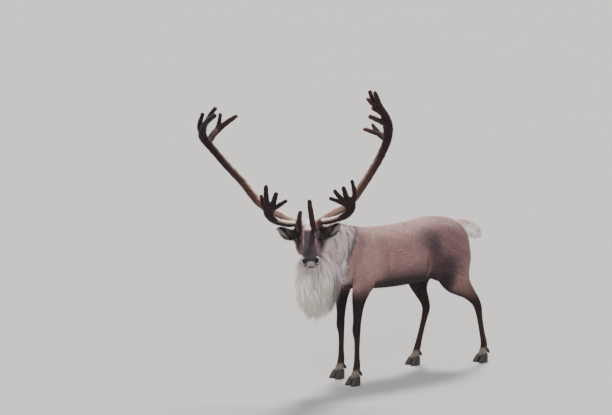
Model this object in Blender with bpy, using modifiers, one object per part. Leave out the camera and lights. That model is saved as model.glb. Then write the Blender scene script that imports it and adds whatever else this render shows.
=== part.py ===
"""A bull barren-ground caribou (reindeer) in late-summer velvet, standing, at life size.

It faces -X with its left side towards -Y, +Z is up, and the sizes are in metres.
The trunk, neck, legs and head are lofted from a few named rows each, fused and smoothed as one
body, and parted with thin cuts into the pieces a person would name.
"""

import math
import random

import bmesh
import bpy
from mathutils import Matrix, Vector
from mathutils.bvhtree import BVHTree

# The clearance kept between pieces that touch
GAP = 0.0003

# Where the middle of the animal's box on the floor lies in the body's own layout
BOX_MIDDLE = Vector((-0.4060, 0.0194, 0.0))

# The trunk from rump to chest: distance back, top, bottom, half width and widest height
TRUNK = [
    (0.572, 1.000, 0.830, 0.045, 0.920),
    (0.542, 1.042, 0.755, 0.108, 0.910),
    (0.478, 1.083, 0.705, 0.150, 0.900),
    (0.380, 1.119, 0.676, 0.172, 0.890),
    (0.250, 1.134, 0.658, 0.182, 0.870),
    (0.100, 1.119, 0.642, 0.194, 0.850),
    (-0.050, 1.108, 0.636, 0.202, 0.840),
    (-0.200, 1.106, 0.636, 0.200, 0.840),
    (-0.330, 1.110, 0.642, 0.186, 0.850),
    (-0.430, 1.112, 0.648, 0.178, 0.855),
    (-0.520, 1.075, 0.654, 0.170, 0.850),
    (-0.600, 1.010, 0.668, 0.146, 0.840),
    (-0.660, 0.940, 0.702, 0.104, 0.825),
    (-0.695, 0.880, 0.756, 0.050, 0.815),
]

# The neck from chest to throat: centre, half width, then height above and below the centre
NECK = [
    (-0.400, 0.000, 0.920, 0.148, 0.190, 0.235),
    (-0.540, -0.008, 0.950, 0.138, 0.192, 0.220),
    (-0.670, -0.034, 0.990, 0.120, 0.180, 0.190),
    (-0.790, -0.068, 1.030, 0.102, 0.156, 0.155),
    (-0.910, -0.106, 1.060, 0.090, 0.130, 0.116),
    (-1.030, -0.146, 1.088, 0.078, 0.098, 0.066),
]

# The throat mane under the neck: centre, half width, then height above and below the centre
MANE = [
    (-0.720, -0.048, 0.930, 0.060, 0.090, 0.120),
    (-0.780, -0.066, 0.920, 0.078, 0.100, 0.165),
    (-0.850, -0.090, 0.905, 0.088, 0.120, 0.215),
    (-0.920, -0.112, 0.900, 0.092, 0.130, 0.250),
    (-0.985, -0.134, 0.905, 0.088, 0.130, 0.252),
    (-1.040, -0.154, 0.915, 0.070, 0.110, 0.210),
    (-1.077, -0.168, 0.925, 0.038, 0.065, 0.130),
]

# The mane's tiers of locks round its middle: height angle, number and lock length
MANE_MIDDLE = Vector((-0.930, -0.116, 0.865))
MANE_TIERS = [(30, 12, 0.190), (8, 15, 0.200), (-16, 15, 0.190), (-38, 13, 0.165), (-62, 8, 0.140), (-86, 3, 0.120)]

# How the head is carried: its poll, and its turn left, drop of the nose and tilt
POLL = Vector((-1.061, -0.154, 1.205))
HEADING = math.radians(50)
PITCH = math.radians(20)
ROLL = math.radians(4)

# The head from nape to nose tip: distance forward, top, bottom, half width and widest height
HEAD = [
    (-0.100, -0.040, -0.165, 0.068, -0.090),
    (-0.050, -0.006, -0.172, 0.084, -0.085),
    (0.000, 0.010, -0.176, 0.090, -0.078),
    (0.050, 0.010, -0.178, 0.092, -0.070),
    (0.100, 0.003, -0.168, 0.090, -0.062),
    (0.140, -0.009, -0.154, 0.080, -0.066),
    (0.190, -0.022, -0.148, 0.066, -0.076),
    (0.240, -0.030, -0.143, 0.057, -0.080),
    (0.290, -0.034, -0.139, 0.054, -0.084),
    (0.330, -0.036, -0.139, 0.056, -0.086),
    (0.365, -0.039, -0.137, 0.058, -0.088),
    (0.392, -0.048, -0.127, 0.052, -0.089),
    (0.407, -0.066, -0.108, 0.034, -0.088),
]

# Places on the head, in its own layout of forward, left and up
EYE = Vector((0.112, 0.0725, -0.036))
EYE_RADIUS = 0.0190
LID_THICKNESS = 0.0036
EAR_ROOT = Vector((-0.014, 0.072, -0.072))
EAR_AIM = Vector((-0.074, 0.234, -0.060))
EAR_LENGTH = 0.168
EAR_WALL = 0.006
NOSTRIL = Vector((0.380, 0.040, -0.066))
MOUTH_CORNER = 0.292
MOUTH_HEIGHT = -0.107

# The legs from body to hoof top: centre, half width, then reach in front and behind
FORE_LEG_LEFT = [
    (-0.470, -0.105, 0.900, 0.060, 0.130, 0.120),
    (-0.500, -0.124, 0.780, 0.062, 0.115, 0.100),
    (-0.545, -0.127, 0.680, 0.052, 0.085, 0.082),
    (-0.570, -0.124, 0.590, 0.042, 0.056, 0.054),
    (-0.580, -0.122, 0.470, 0.032, 0.036, 0.034),
    (-0.586, -0.121, 0.390, 0.032, 0.037, 0.032),
    (-0.583, -0.122, 0.320, 0.024, 0.025, 0.026),
    (-0.587, -0.125, 0.210, 0.022, 0.023, 0.025),
    (-0.590, -0.127, 0.125, 0.028, 0.028, 0.031),
    (-0.609, -0.129, 0.050, 0.032, 0.033, 0.031),
]
FORE_LEG_RIGHT = [
    (-0.430, 0.105, 0.900, 0.060, 0.130, 0.120),
    (-0.455, 0.124, 0.780, 0.062, 0.115, 0.100),
    (-0.496, 0.127, 0.680, 0.052, 0.085, 0.082),
    (-0.516, 0.124, 0.590, 0.042, 0.056, 0.054),
    (-0.524, 0.122, 0.470, 0.032, 0.036, 0.034),
    (-0.528, 0.121, 0.390, 0.032, 0.037, 0.032),
    (-0.522, 0.122, 0.320, 0.024, 0.025, 0.026),
    (-0.520, 0.125, 0.210, 0.022, 0.023, 0.025),
    (-0.520, 0.127, 0.125, 0.028, 0.028, 0.031),
    (-0.537, 0.129, 0.050, 0.032, 0.033, 0.031),
]
HIND_LEG_LEFT = [
    (0.365, -0.085, 0.960, 0.060, 0.150, 0.145),
    (0.358, -0.110, 0.850, 0.068, 0.180, 0.172),
    (0.358, -0.123, 0.745, 0.066, 0.190, 0.162),
    (0.390, -0.125, 0.660, 0.057, 0.150, 0.128),
    (0.435, -0.124, 0.600, 0.046, 0.100, 0.088),
    (0.497, -0.122, 0.540, 0.037, 0.060, 0.060),
    (0.567, -0.119, 0.468, 0.029, 0.038, 0.046),
    (0.600, -0.118, 0.415, 0.028, 0.034, 0.038),
    (0.618, -0.119, 0.340, 0.024, 0.026, 0.027),
    (0.642, -0.121, 0.220, 0.023, 0.024, 0.025),
    (0.660, -0.123, 0.130, 0.027, 0.027, 0.031),
    (0.645, -0.125, 0.050, 0.032, 0.034, 0.032),
]
HIND_LEG_RIGHT = [
    (0.340, 0.085, 0.960, 0.060, 0.150, 0.150),
    (0.300, 0.110, 0.850, 0.068, 0.175, 0.180),
    (0.255, 0.123, 0.745, 0.066, 0.170, 0.180),
    (0.232, 0.125, 0.660, 0.057, 0.130, 0.140),
    (0.232, 0.124, 0.600, 0.046, 0.090, 0.096),
    (0.249, 0.122, 0.540, 0.037, 0.058, 0.062),
    (0.285, 0.119, 0.462, 0.029, 0.038, 0.046),
    (0.298, 0.118, 0.405, 0.028, 0.034, 0.038),
    (0.280, 0.119, 0.330, 0.024, 0.026, 0.027),
    (0.245, 0.121, 0.215, 0.023, 0.024, 0.025),
    (0.220, 0.123, 0.130, 0.027, 0.027, 0.031),
    (0.195, 0.125, 0.050, 0.032, 0.034, 0.032),
]
# Muscle masses over the joints: centre and the three half sizes
MASSES = [
    (-0.485, -0.132, 0.715, 0.055, 0.040, 0.060),
    (-0.440, 0.132, 0.715, 0.055, 0.040, 0.060),
    (0.200, -0.128, 0.735, 0.095, 0.050, 0.080),
    (0.120, 0.128, 0.735, 0.090, 0.050, 0.080),
]
LEGS = {
    "front_left": FORE_LEG_LEFT,
    "front_right": FORE_LEG_RIGHT,
    "hind_left": HIND_LEG_LEFT,
    "hind_right": HIND_LEG_RIGHT,
}

# Heights of the level cuts: legs from trunk, and leg from cannon at knee or hock
LEG_CUT = 0.630
KNEE_CUT = {"front": 0.385, "hind": 0.430}

# Hooves: the level of their tops, and one claw's length, width and toe spread
HOOF_TOP = 0.062
HOOF_LENGTH = 0.098
HOOF_WIDTH = 0.045
HOOF_SPREAD = math.radians(9)
DEWCLAW_HEIGHT = 0.078

# The tail, held level: centre, half width, then height above and below
TAIL = [
    (0.480, 0.0, 1.030, 0.030, 0.026, 0.030),
    (0.545, 0.0, 1.020, 0.038, 0.030, 0.036),
    (0.600, 0.0, 1.002, 0.048, 0.030, 0.052),
    (0.655, 0.0, 0.980, 0.046, 0.026, 0.052),
    (0.700, 0.0, 0.960, 0.030, 0.016, 0.030),
    (0.722, 0.0, 0.946, 0.008, 0.005, 0.008),
]

# Antler beams and tines, laid out level with the head's heading: outward, forward and up of
# the poll, then the half width seen from in front and the half thickness
PEDICLE = (0.050, 0.000, -0.020, 0.027, 0.027)
BEAM_RIGHT = [
    PEDICLE,
    (0.080, -0.015, 0.020, 0.028, 0.027),
    (0.141, -0.050, 0.046, 0.027, 0.026),
    (0.209, -0.100, 0.083, 0.026, 0.026),
    (0.284, -0.150, 0.120, 0.026, 0.026),
    (0.354, -0.200, 0.175, 0.027, 0.027),
    (0.448, -0.262, 0.303, 0.026, 0.026),
    (0.559, -0.305, 0.432, 0.025, 0.025),
    (0.650, -0.310, 0.553, 0.025, 0.025),
    (0.694, -0.285, 0.622, 0.028, 0.023),
    (0.703, -0.240, 0.670, 0.027, 0.020),
    (0.686, -0.190, 0.722, 0.019, 0.018),
    (0.664, -0.150, 0.757, 0.018, 0.017),
    (0.636, -0.105, 0.783, 0.017, 0.016),
    (0.598, -0.055, 0.812, 0.012, 0.012),
]
BEAM_LEFT = [
    PEDICLE,
    (0.080, -0.015, 0.020, 0.028, 0.027),
    (0.150, -0.060, 0.055, 0.027, 0.026),
    (0.256, -0.135, 0.093, 0.026, 0.026),
    (0.322, -0.180, 0.137, 0.026, 0.026),
    (0.380, -0.220, 0.202, 0.027, 0.027),
    (0.479, -0.275, 0.327, 0.026, 0.026),
    (0.547, -0.297, 0.430, 0.026, 0.026),
    (0.592, -0.280, 0.531, 0.029, 0.024),
    (0.602, -0.230, 0.628, 0.034, 0.022),
    (0.588, -0.180, 0.700, 0.031, 0.019),
    (0.569, -0.130, 0.754, 0.023, 0.017),
    (0.551, -0.095, 0.797, 0.018, 0.016),
    (0.524, -0.035, 0.895, 0.012, 0.012),
]
CROWN_TINES_RIGHT = [
    [(0.698, -0.270, 0.628, 0.018, 0.016), (0.720, -0.248, 0.715, 0.015, 0.014), (0.690, -0.220, 0.805, 0.011, 0.011)],
    [(0.664, -0.150, 0.757, 0.014, 0.014), (0.632, -0.158, 0.806, 0.014, 0.013), (0.596, -0.170, 0.848, 0.011, 0.011)],
]
CROWN_TINES_LEFT = [
    [(0.562, -0.125, 0.745, 0.017, 0.015), (0.514, -0.102, 0.822, 0.015, 0.013), (0.490, -0.080, 0.900, 0.011, 0.011)],
    [(0.530, -0.106, 0.785, 0.014, 0.013), (0.500, -0.075, 0.815, 0.013, 0.012), (0.471, -0.050, 0.852, 0.010, 0.010)],
    [(0.575, -0.145, 0.720, 0.015, 0.014), (0.540, -0.110, 0.755, 0.014, 0.013), (0.500, -0.080, 0.782, 0.011, 0.010)],
    [(0.590, -0.205, 0.648, 0.018, 0.016), (0.530, -0.145, 0.690, 0.017, 0.015), (0.478, -0.080, 0.725, 0.012, 0.012)],
]
REAR_TINE_RIGHT = [
    [(0.675, -0.295, 0.585, 0.020, 0.018), (0.635, -0.358, 0.634, 0.022, 0.017), (0.603, -0.400, 0.662, 0.021, 0.015)],
    [(0.612, -0.390, 0.652, 0.016, 0.014), (0.588, -0.428, 0.705, 0.013, 0.012), (0.574, -0.440, 0.768, 0.010, 0.010)],
    [(0.612, -0.390, 0.652, 0.018, 0.015), (0.545, -0.430, 0.700, 0.017, 0.014), (0.462, -0.440, 0.748, 0.012, 0.011)],
]
REAR_TINE_LEFT = [
    [(0.590, -0.270, 0.520, 0.018, 0.017), (0.562, -0.305, 0.548, 0.019, 0.016), (0.530, -0.332, 0.572, 0.018, 0.015)],
    [(0.540, -0.325, 0.566, 0.016, 0.014), (0.490, -0.350, 0.583, 0.014, 0.013), (0.438, -0.370, 0.602, 0.011, 0.010)],
    [(0.540, -0.325, 0.566, 0.014, 0.013), (0.516, -0.350, 0.597, 0.013, 0.012), (0.498, -0.368, 0.628, 0.010, 0.010)],
]
BEZ_RIGHT = [
    [(0.086, -0.022, 0.018, 0.015, 0.015), (0.122, 0.028, 0.024, 0.020, 0.019), (0.168, 0.088, 0.042, 0.021, 0.019), (0.226, 0.165, 0.076, 0.022, 0.020),
     (0.262, 0.215, 0.120, 0.027, 0.020), (0.263, 0.232, 0.170, 0.042, 0.017), (0.258, 0.238, 0.205, 0.036, 0.014)],
    [(0.282, 0.225, 0.160, 0.015, 0.013), (0.303, 0.218, 0.208, 0.013, 0.012), (0.310, 0.200, 0.262, 0.009, 0.009)],
    [(0.272, 0.232, 0.170, 0.020, 0.014), (0.277, 0.242, 0.250, 0.017, 0.013), (0.271, 0.240, 0.335, 0.011, 0.010)],
    [(0.248, 0.238, 0.170, 0.021, 0.014), (0.224, 0.256, 0.230, 0.017, 0.013), (0.204, 0.262, 0.280, 0.013, 0.011)],
    [(0.243, 0.238, 0.168, 0.018, 0.014), (0.194, 0.266, 0.196, 0.014, 0.012), (0.142, 0.288, 0.228, 0.010, 0.009)],
]
BEZ_LEFT = [
    [(0.086, -0.022, 0.020, 0.015, 0.015), (0.122, 0.034, 0.026, 0.020, 0.019), (0.175, 0.108, 0.045, 0.021, 0.019), (0.246, 0.190, 0.078, 0.022, 0.020),
     (0.292, 0.225, 0.118, 0.026, 0.020), (0.296, 0.240, 0.165, 0.042, 0.017), (0.288, 0.245, 0.200, 0.038, 0.014)],
    [(0.281, 0.240, 0.160, 0.017, 0.013), (0.225, 0.268, 0.194, 0.013, 0.012), (0.165, 0.296, 0.228, 0.009, 0.009)],
    [(0.281, 0.240, 0.170, 0.019, 0.014), (0.236, 0.262, 0.218, 0.016, 0.013), (0.199, 0.278, 0.272, 0.011, 0.010)],
    [(0.292, 0.240, 0.178, 0.019, 0.014), (0.275, 0.250, 0.224, 0.017, 0.013), (0.260, 0.260, 0.290, 0.012, 0.011)],
    [(0.306, 0.235, 0.160, 0.019, 0.014), (0.334, 0.222, 0.230, 0.015, 0.013), (0.322, 0.200, 0.322, 0.010, 0.009)],
]
BROW_RIGHT = [[
    (0.056, 0.010, 0.004, 0.018, 0.017), (0.064, 0.055, -0.020, 0.018, 0.016), (0.066, 0.105, 0.010, 0.017, 0.015),
    (0.062, 0.130, 0.060, 0.016, 0.014), (0.051, 0.140, 0.120, 0.012, 0.011),
]]
BROW_LEFT = [[
    (0.050, 0.010, 0.006, 0.019, 0.018), (0.040, 0.055, -0.012, 0.019, 0.018), (0.030, 0.110, 0.025, 0.018, 0.017),
    (0.024, 0.138, 0.095, 0.017, 0.016), (0.019, 0.148, 0.195, 0.013, 0.012),
]]

# Rows of a beam at which its lengths part
BEAM_PARTS_RIGHT = (5, 9)
BEAM_PARTS_LEFT = (5, 8)


def clear_scene():
    for obj in list(bpy.data.objects):
        bpy.data.objects.remove(obj)


def collection_of(name, hidden=False):
    made = bpy.data.collections.new(name)
    made.hide_render = hidden
    bpy.context.scene.collection.children.link(made)
    return made


def material(name, colour, roughness):
    """A plain finish with the part's colour."""
    made = bpy.data.materials.new(name)
    made.use_nodes = True
    shader = made.node_tree.nodes["Principled BSDF"]
    shader.inputs["Base Color"].default_value = (*colour, 1.0)
    shader.inputs["Roughness"].default_value = roughness
    shader.inputs["Metallic"].default_value = 0.0
    made.diffuse_color = (*colour, 1.0)
    return made


def placed(name, mesh, collection, finish=None):
    obj = bpy.data.objects.new(name, mesh)
    collection.objects.link(obj)
    if finish:
        mesh.materials.clear()
        mesh.materials.append(finish)
    return obj


def mesh_of(name, bm):
    mesh = bpy.data.meshes.new(name)
    bmesh.ops.recalc_face_normals(bm, faces=bm.faces)
    bm.to_mesh(mesh)
    bm.free()
    return mesh


def settled(obj):
    """Applies all modifiers of the object to its mesh."""
    bpy.context.view_layer.update()
    graph = bpy.context.evaluated_depsgraph_get()
    mesh = bpy.data.meshes.new_from_object(obj.evaluated_get(graph))
    finishes = list(obj.data.materials)
    bm = bmesh.new()
    bm.from_mesh(mesh)
    bmesh.ops.triangulate(bm, faces=bm.faces)
    bm.to_mesh(mesh)
    bm.free()
    obj.modifiers.clear()
    obj.data = mesh
    mesh.materials.clear()
    for finish in finishes:
        mesh.materials.append(finish)
    return obj


def refined(rows, steps):
    """The rows with points between them on a smooth curve through them."""
    fine = []
    last = len(rows) - 1
    for i in range(last):
        before, start, end, after = rows[max(i - 1, 0)], rows[i], rows[i + 1], rows[min(i + 2, last)]
        for step in range(steps):
            t = step / steps
            row = []
            for p, q, r, s in zip(before, start, end, after):
                bend = (2 * p - 5 * q + 4 * r - s) * t * t + (3 * q - 3 * r + s - p) * t ** 3
                row.append(q + 0.5 * ((r - p) * t + bend))
            fine.append(tuple(row))
    fine.append(tuple(rows[-1]))
    return fine


def loft(name, rows, sides, side_hint, squareness=1.0, grown=0.0, rounded_end=False):
    """A closed body through oval rows: centre, half width, reach up or forward, reach down or back."""
    centres = [Vector(row[:3]) for row in rows]
    rings = []
    for i, row in enumerate(rows):
        tangent = (centres[min(i + 1, len(rows) - 1)] - centres[max(i - 1, 0)]).normalized()
        side = (side_hint - tangent * side_hint.dot(tangent)).normalized()
        down = tangent.cross(side)
        rings.append((centres[i], side, down, [size + grown for size in row[3:6]]))
    if rounded_end:
        centre, side, down, sizes = rings[-1]
        tangent = (centres[-1] - centres[-2]).normalized()
        bulge = sum(sizes) / 3 * 0.62
        rings.append((centre + tangent * bulge, side, down, [size * 0.55 for size in sizes]))
    bm = bmesh.new()
    loops = []
    for centre, side, down, (half, above, below) in rings:
        loop = []
        for k in range(sides):
            angle = 2 * math.pi * k / sides
            c, s = math.cos(angle), math.sin(angle)
            across = math.copysign(abs(c) ** squareness, c) * half
            along = math.copysign(abs(s) ** squareness, s) * (below if s > 0 else above)
            loop.append(bm.verts.new(centre + side * across + down * along))
        loops.append(loop)
    for a, b in zip(loops, loops[1:]):
        for k in range(sides):
            bm.faces.new((a[k], a[(k + 1) % sides], b[(k + 1) % sides], b[k]))
    bm.faces.new(loops[0])
    bm.faces.new(loops[-1])
    bmesh.ops.triangulate(bm, faces=bm.faces, quad_method="FIXED")
    return mesh_of(name, bm)


def upright_rows(table):
    """Rows of distance, top, bottom, half width and widest height as loft rows in the XZ plane."""
    return [(x, 0.0, wide, half, top - wide, wide - bottom) for x, top, bottom, half, wide in table]


def ball(name, centre, radii, turn=None, segments=16, rings=10):
    """An egg-shaped body of the three radii, turned by the matrix and centred."""
    bm = bmesh.new()
    bmesh.ops.create_uvsphere(bm, u_segments=segments, v_segments=rings, radius=1.0)
    place = Matrix.Translation(centre) @ (turn or Matrix.Identity(4)) @ Matrix.Diagonal((*radii, 1.0))
    bmesh.ops.transform(bm, matrix=place, verts=bm.verts)
    return mesh_of(name, bm)


def volume_of(mesh):
    bm = bmesh.new()
    bm.from_mesh(mesh)
    volume = bm.calc_volume(signed=True) if bm.faces else 0.0
    bm.free()
    return volume


def combined(obj, others, operation):
    """Joins to or cuts from the object each of the others, and removes those."""
    tools = bpy.data.collections.new("tools")
    bpy.context.scene.collection.children.link(tools)
    for other in others:
        for home in list(other.users_collection):
            home.objects.unlink(other)
        tools.objects.link(other)
    start = obj.data
    before = volume_of(start)
    taken = sum(volume_of(other.data) for other in others)
    for solver in ("EXACT", "MANIFOLD"):
        obj.data = start
        change = obj.modifiers.new("change", "BOOLEAN")
        change.operation = operation
        change.solver = solver
        change.operand_type = "COLLECTION"
        change.collection = tools
        settled(obj)
        after = volume_of(obj.data)
        least = before * 0.999 if operation == "UNION" else max(before - taken, before * 0.1)
        most = before + taken if operation == "UNION" else before * 1.001
        if least <= after <= most:
            break
        print("retried", obj.name, solver, before, after, taken)
    for other in list(tools.objects):
        bpy.data.objects.remove(other)
    bpy.data.collections.remove(tools)
    return obj


def keep_largest(obj):
    """Leaves only the closed surface with the largest volume."""
    bm = bmesh.new()
    bm.from_mesh(obj.data)
    unseen = set(bm.verts)
    shells = []
    while unseen:
        shell, edge = set(), [unseen.pop()]
        while edge:
            vert = edge.pop()
            shell.add(vert)
            for link in vert.link_edges:
                other = link.other_vert(vert)
                if other in unseen:
                    unseen.remove(other)
                    edge.append(other)
        faces = {face for vert in shell for face in vert.link_faces}
        volume = sum(
            face.calc_area() * face.normal.dot(face.calc_center_median()) for face in faces
        )
        shells.append((volume, shell))
    keep = max(shells, key=lambda found: found[0])[1]
    bmesh.ops.delete(bm, geom=[vert for vert in bm.verts if vert not in keep], context="VERTS")
    bm.to_mesh(obj.data)
    bm.free()
    return obj


def cut_by_plane(mesh, point, normal):
    """A copy of the mesh behind the plane, less half the gap, with its cut face closed."""
    bm = bmesh.new()
    bm.from_mesh(mesh)
    normal = normal.normalized()
    geometry = bm.verts[:] + bm.edges[:] + bm.faces[:]
    bmesh.ops.bisect_plane(
        bm, geom=geometry, dist=1e-7, plane_co=point - normal * GAP / 2, plane_no=normal, clear_outer=True
    )
    rim = [edge for edge in bm.edges if edge.is_boundary]
    bmesh.ops.holes_fill(bm, edges=rim, sides=0)
    bmesh.ops.triangulate(bm, faces=bm.faces)
    return mesh_of(mesh.name, bm)


def parted(mesh, point, normal):
    """The mesh's two sides of a thin cut: behind the plane, and in front of it."""
    return cut_by_plane(mesh, point, normal), cut_by_plane(mesh, point, -normal)


def islands(mesh):
    """The mesh's separate surfaces, each as a mesh, with the middle of each."""
    bm = bmesh.new()
    bm.from_mesh(mesh)
    unseen = set(bm.verts)
    found = []
    while unseen:
        edge, shell = [unseen.pop()], set()
        while edge:
            vert = edge.pop()
            shell.add(vert)
            for link in vert.link_edges:
                other = link.other_vert(vert)
                if other in unseen:
                    unseen.remove(other)
                    edge.append(other)
        middle = sum((vert.co for vert in shell), Vector()) / len(shell)
        found.append(({vert.index for vert in shell}, middle))
    bm.free()
    made = []
    for keep, middle in found:
        bm = bmesh.new()
        bm.from_mesh(mesh)
        bmesh.ops.delete(bm, geom=[v for v in bm.verts if v.index not in keep], context="VERTS")
        made.append((mesh_of(mesh.name, bm), middle))
    return made


def swollen(name, mesh, by, collection):
    """A copy of the mesh grown along its normals, for cutting a neighbour clear of it."""
    bm = bmesh.new()
    bm.from_mesh(mesh)
    bm.normal_update()
    moves = [(vert, vert.normal * by * min(vert.calc_shell_factor(), 2.0)) for vert in bm.verts]
    for vert, move in moves:
        vert.co += move
    return placed(name, mesh_of(name, bm), collection)


def fused_skin(name, meshes, voxel, smoothing, ratio, collection):
    """One smooth closed surface round all the meshes, thinned to the share of faces asked for."""
    bm = bmesh.new()
    for mesh in meshes:
        bm.from_mesh(mesh)
    obj = placed(name, mesh_of(name, bm), collection)
    remesh = obj.modifiers.new("remesh", "REMESH")
    remesh.mode = "VOXEL"
    remesh.voxel_size = voxel
    smooth = obj.modifiers.new("smooth", "SMOOTH")
    smooth.factor = 0.5
    smooth.iterations = smoothing
    settled(obj)
    thin = obj.modifiers.new("thin", "DECIMATE")
    thin.ratio = ratio
    settled(obj)
    return obj


def head_place():
    """From the head's own layout of forward, left and up to the body's."""
    forward = Vector((-math.cos(HEADING), -math.sin(HEADING), 0.0))
    up = Vector((0.0, 0.0, 1.0))
    left = up.cross(forward)
    left, up = (
        left * math.cos(ROLL) + up * math.sin(ROLL),
        up * math.cos(ROLL) - left * math.sin(ROLL),
    )
    level = Matrix((forward, left, up)).transposed()
    nodding = level @ Matrix.Rotation(PITCH, 3, "Y")
    return Matrix.Translation(POLL) @ level.to_4x4(), Matrix.Translation(POLL) @ nodding.to_4x4()


LEVEL_PLACE, HEAD_PLACE = head_place()
HEAD_LEFT = HEAD_PLACE.to_3x3() @ Vector((0.0, 1.0, 0.0))
HEAD_FORWARD = HEAD_PLACE.to_3x3() @ Vector((1.0, 0.0, 0.0))
HEAD_UP = HEAD_PLACE.to_3x3() @ Vector((0.0, 0.0, 1.0))
BODY_LEFT = Vector((0.0, -1.0, 0.0))
BODY_RIGHT = Vector((0.0, 1.0, 0.0))


def on_head(x, y, z):
    return HEAD_PLACE @ Vector((x, y, z))


def head_rows():
    rows = []
    for x, top, bottom, half, wide in refined(HEAD, 3):
        rows.append((*on_head(x, 0.0, wide), half, top - wide, wide - bottom))
    return rows


def flesh_meshes():
    """The trunk, neck and legs before they are fused."""
    meshes = [loft("trunk", refined(upright_rows(TRUNK), 3), 32, BODY_RIGHT, 0.92)]
    meshes.append(loft("neck", refined(NECK, 3), 28, BODY_RIGHT, 0.95))
    meshes.append(loft("mane", refined(MANE, 3), 24, BODY_RIGHT, 0.85))
    for name, rows in LEGS.items():
        meshes.append(loft(name, refined(rows, 3), 20, BODY_RIGHT))
    for x, y, z, *radii in MASSES:
        meshes.append(ball("mass", Vector((x, y, z)), radii))
    return meshes


def head_meshes():
    """The skull and muzzle, with the brows, cheeks, nose wings and chin that stand out of it."""
    meshes = [loft("skull", head_rows(), 28, -HEAD_LEFT, 0.90)]
    turn = HEAD_PLACE.to_3x3().to_4x4()
    for side in (1, -1):
        meshes.append(ball("brow", on_head(0.106, side * 0.063, -0.017), (0.046, 0.020, 0.015), turn))
        meshes.append(ball("cheek", on_head(0.095, side * 0.056, -0.106), (0.092, 0.032, 0.050), turn))
        meshes.append(ball("nose_wing", on_head(0.362, side * 0.040, -0.066), (0.027, 0.021, 0.024), turn))
        meshes.append(ball("pedicle", on_head(-0.004, side * 0.046, 0.004), (0.036, 0.032, 0.026), turn))
        meshes.append(ball("ear_base", on_head(EAR_ROOT.x, side * EAR_ROOT.y, EAR_ROOT.z), (0.026, 0.022, 0.026), turn))
    meshes.append(ball("chin", on_head(0.345, 0.0, -0.128), (0.040, 0.036, 0.022), turn))
    meshes.append(ball("upper_lip", on_head(0.378, 0.0, -0.092), (0.026, 0.040, 0.018), turn))
    return meshes


def neck_cut():
    """The plane that parts head from neck, behind the ears and jaw, facing forward."""
    return on_head(-0.062, 0.0, 0.0), LEVEL_PLACE.to_3x3() @ Vector((0.95, 0.0, 0.25))


def build_body(parts, helpers, coat):
    """The trunk in three lengths, the neck, and each leg in two, parted from one fused skin."""
    skin = fused_skin("body", flesh_meshes() + head_meshes(), 0.0075, 10, BODY_DETAIL, helpers)
    trunk, neck_side = parted(skin.data, Vector((-0.555, 0.0, 0.905)), Vector((-0.89, -0.05, 0.455)))
    rest, legs = parted(trunk, Vector((0.0, 0.0, LEG_CUT)), Vector((0.0, 0.0, -1.0)))
    made = {}
    for mesh, middle in islands(legs):
        end = "front" if middle.x < 0 else "hind"
        name = f"{end}_{'right' if middle.y > 0 else 'left'}"
        sole = Vector((0.0, 0.0, HOOF_TOP + GAP / 2))
        mesh = cut_by_plane(mesh, sole, Vector((0.0, 0.0, -1.0)))
        upper, lower = parted(mesh, Vector((0.0, 0.0, KNEE_CUT[end])), Vector((0.0, 0.0, -1.0)))
        made[f"leg_{name}_upper"] = upper
        made[f"leg_{name}_lower"] = lower
    cut_points = {
        "torso_rump": (Vector((0.215, 0.0, 0.0)), Vector((-1.0, 0.0, 0.10))),
        "torso_barrel": (Vector((-0.270, 0.0, 0.88)), Vector((-1.0, 0.0, -0.06))),
    }
    for name, (point, normal) in cut_points.items():
        made[name], rest = parted(rest, point, normal)
    made["torso_chest"] = rest
    made["neck"], head_side = parted(neck_side, *neck_cut())
    bpy.data.meshes.remove(head_side)
    built = {}
    for name, mesh in made.items():
        built[name] = keep_largest(placed(name, mesh, parts, coat[name]))
    bpy.data.objects.remove(skin)
    return built


def lock(root, aim, face, length, width, thickness, sag, collection):
    """A flat lock of hair that tapers to its tip and sags towards the floor."""
    across = aim.cross(face).normalized()
    outward = across.cross(aim).normalized()
    bm = bmesh.new()
    loops = []
    for share, broad, thick in ((0.0, 0.9, 1.0), (0.36, 1.0, 1.0), (0.72, 0.72, 0.75), (1.0, 0.10, 0.25)):
        centre = root + aim * (length * share) - Vector((0.0, 0.0, sag * share ** 2))
        half = across * (width / 2 * broad)
        ridge = outward * (thickness / 2 * thick)
        loops.append([bm.verts.new(centre + step) for step in (half, ridge, -half, -ridge)])
    for a, b in zip(loops, loops[1:]):
        for k in range(4):
            bm.faces.new((a[k], a[(k + 1) % 4], b[(k + 1) % 4], b[k]))
    bm.faces.new(loops[0])
    bm.faces.new(loops[-1])
    bmesh.ops.triangulate(bm, faces=bm.faces, quad_method="FIXED")
    return placed("lock", mesh_of("lock", bm), collection)


def surface_of(mesh):
    return BVHTree.FromPolygons(
        [vert.co for vert in mesh.vertices], [face.vertices for face in mesh.polygons]
    )


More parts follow.
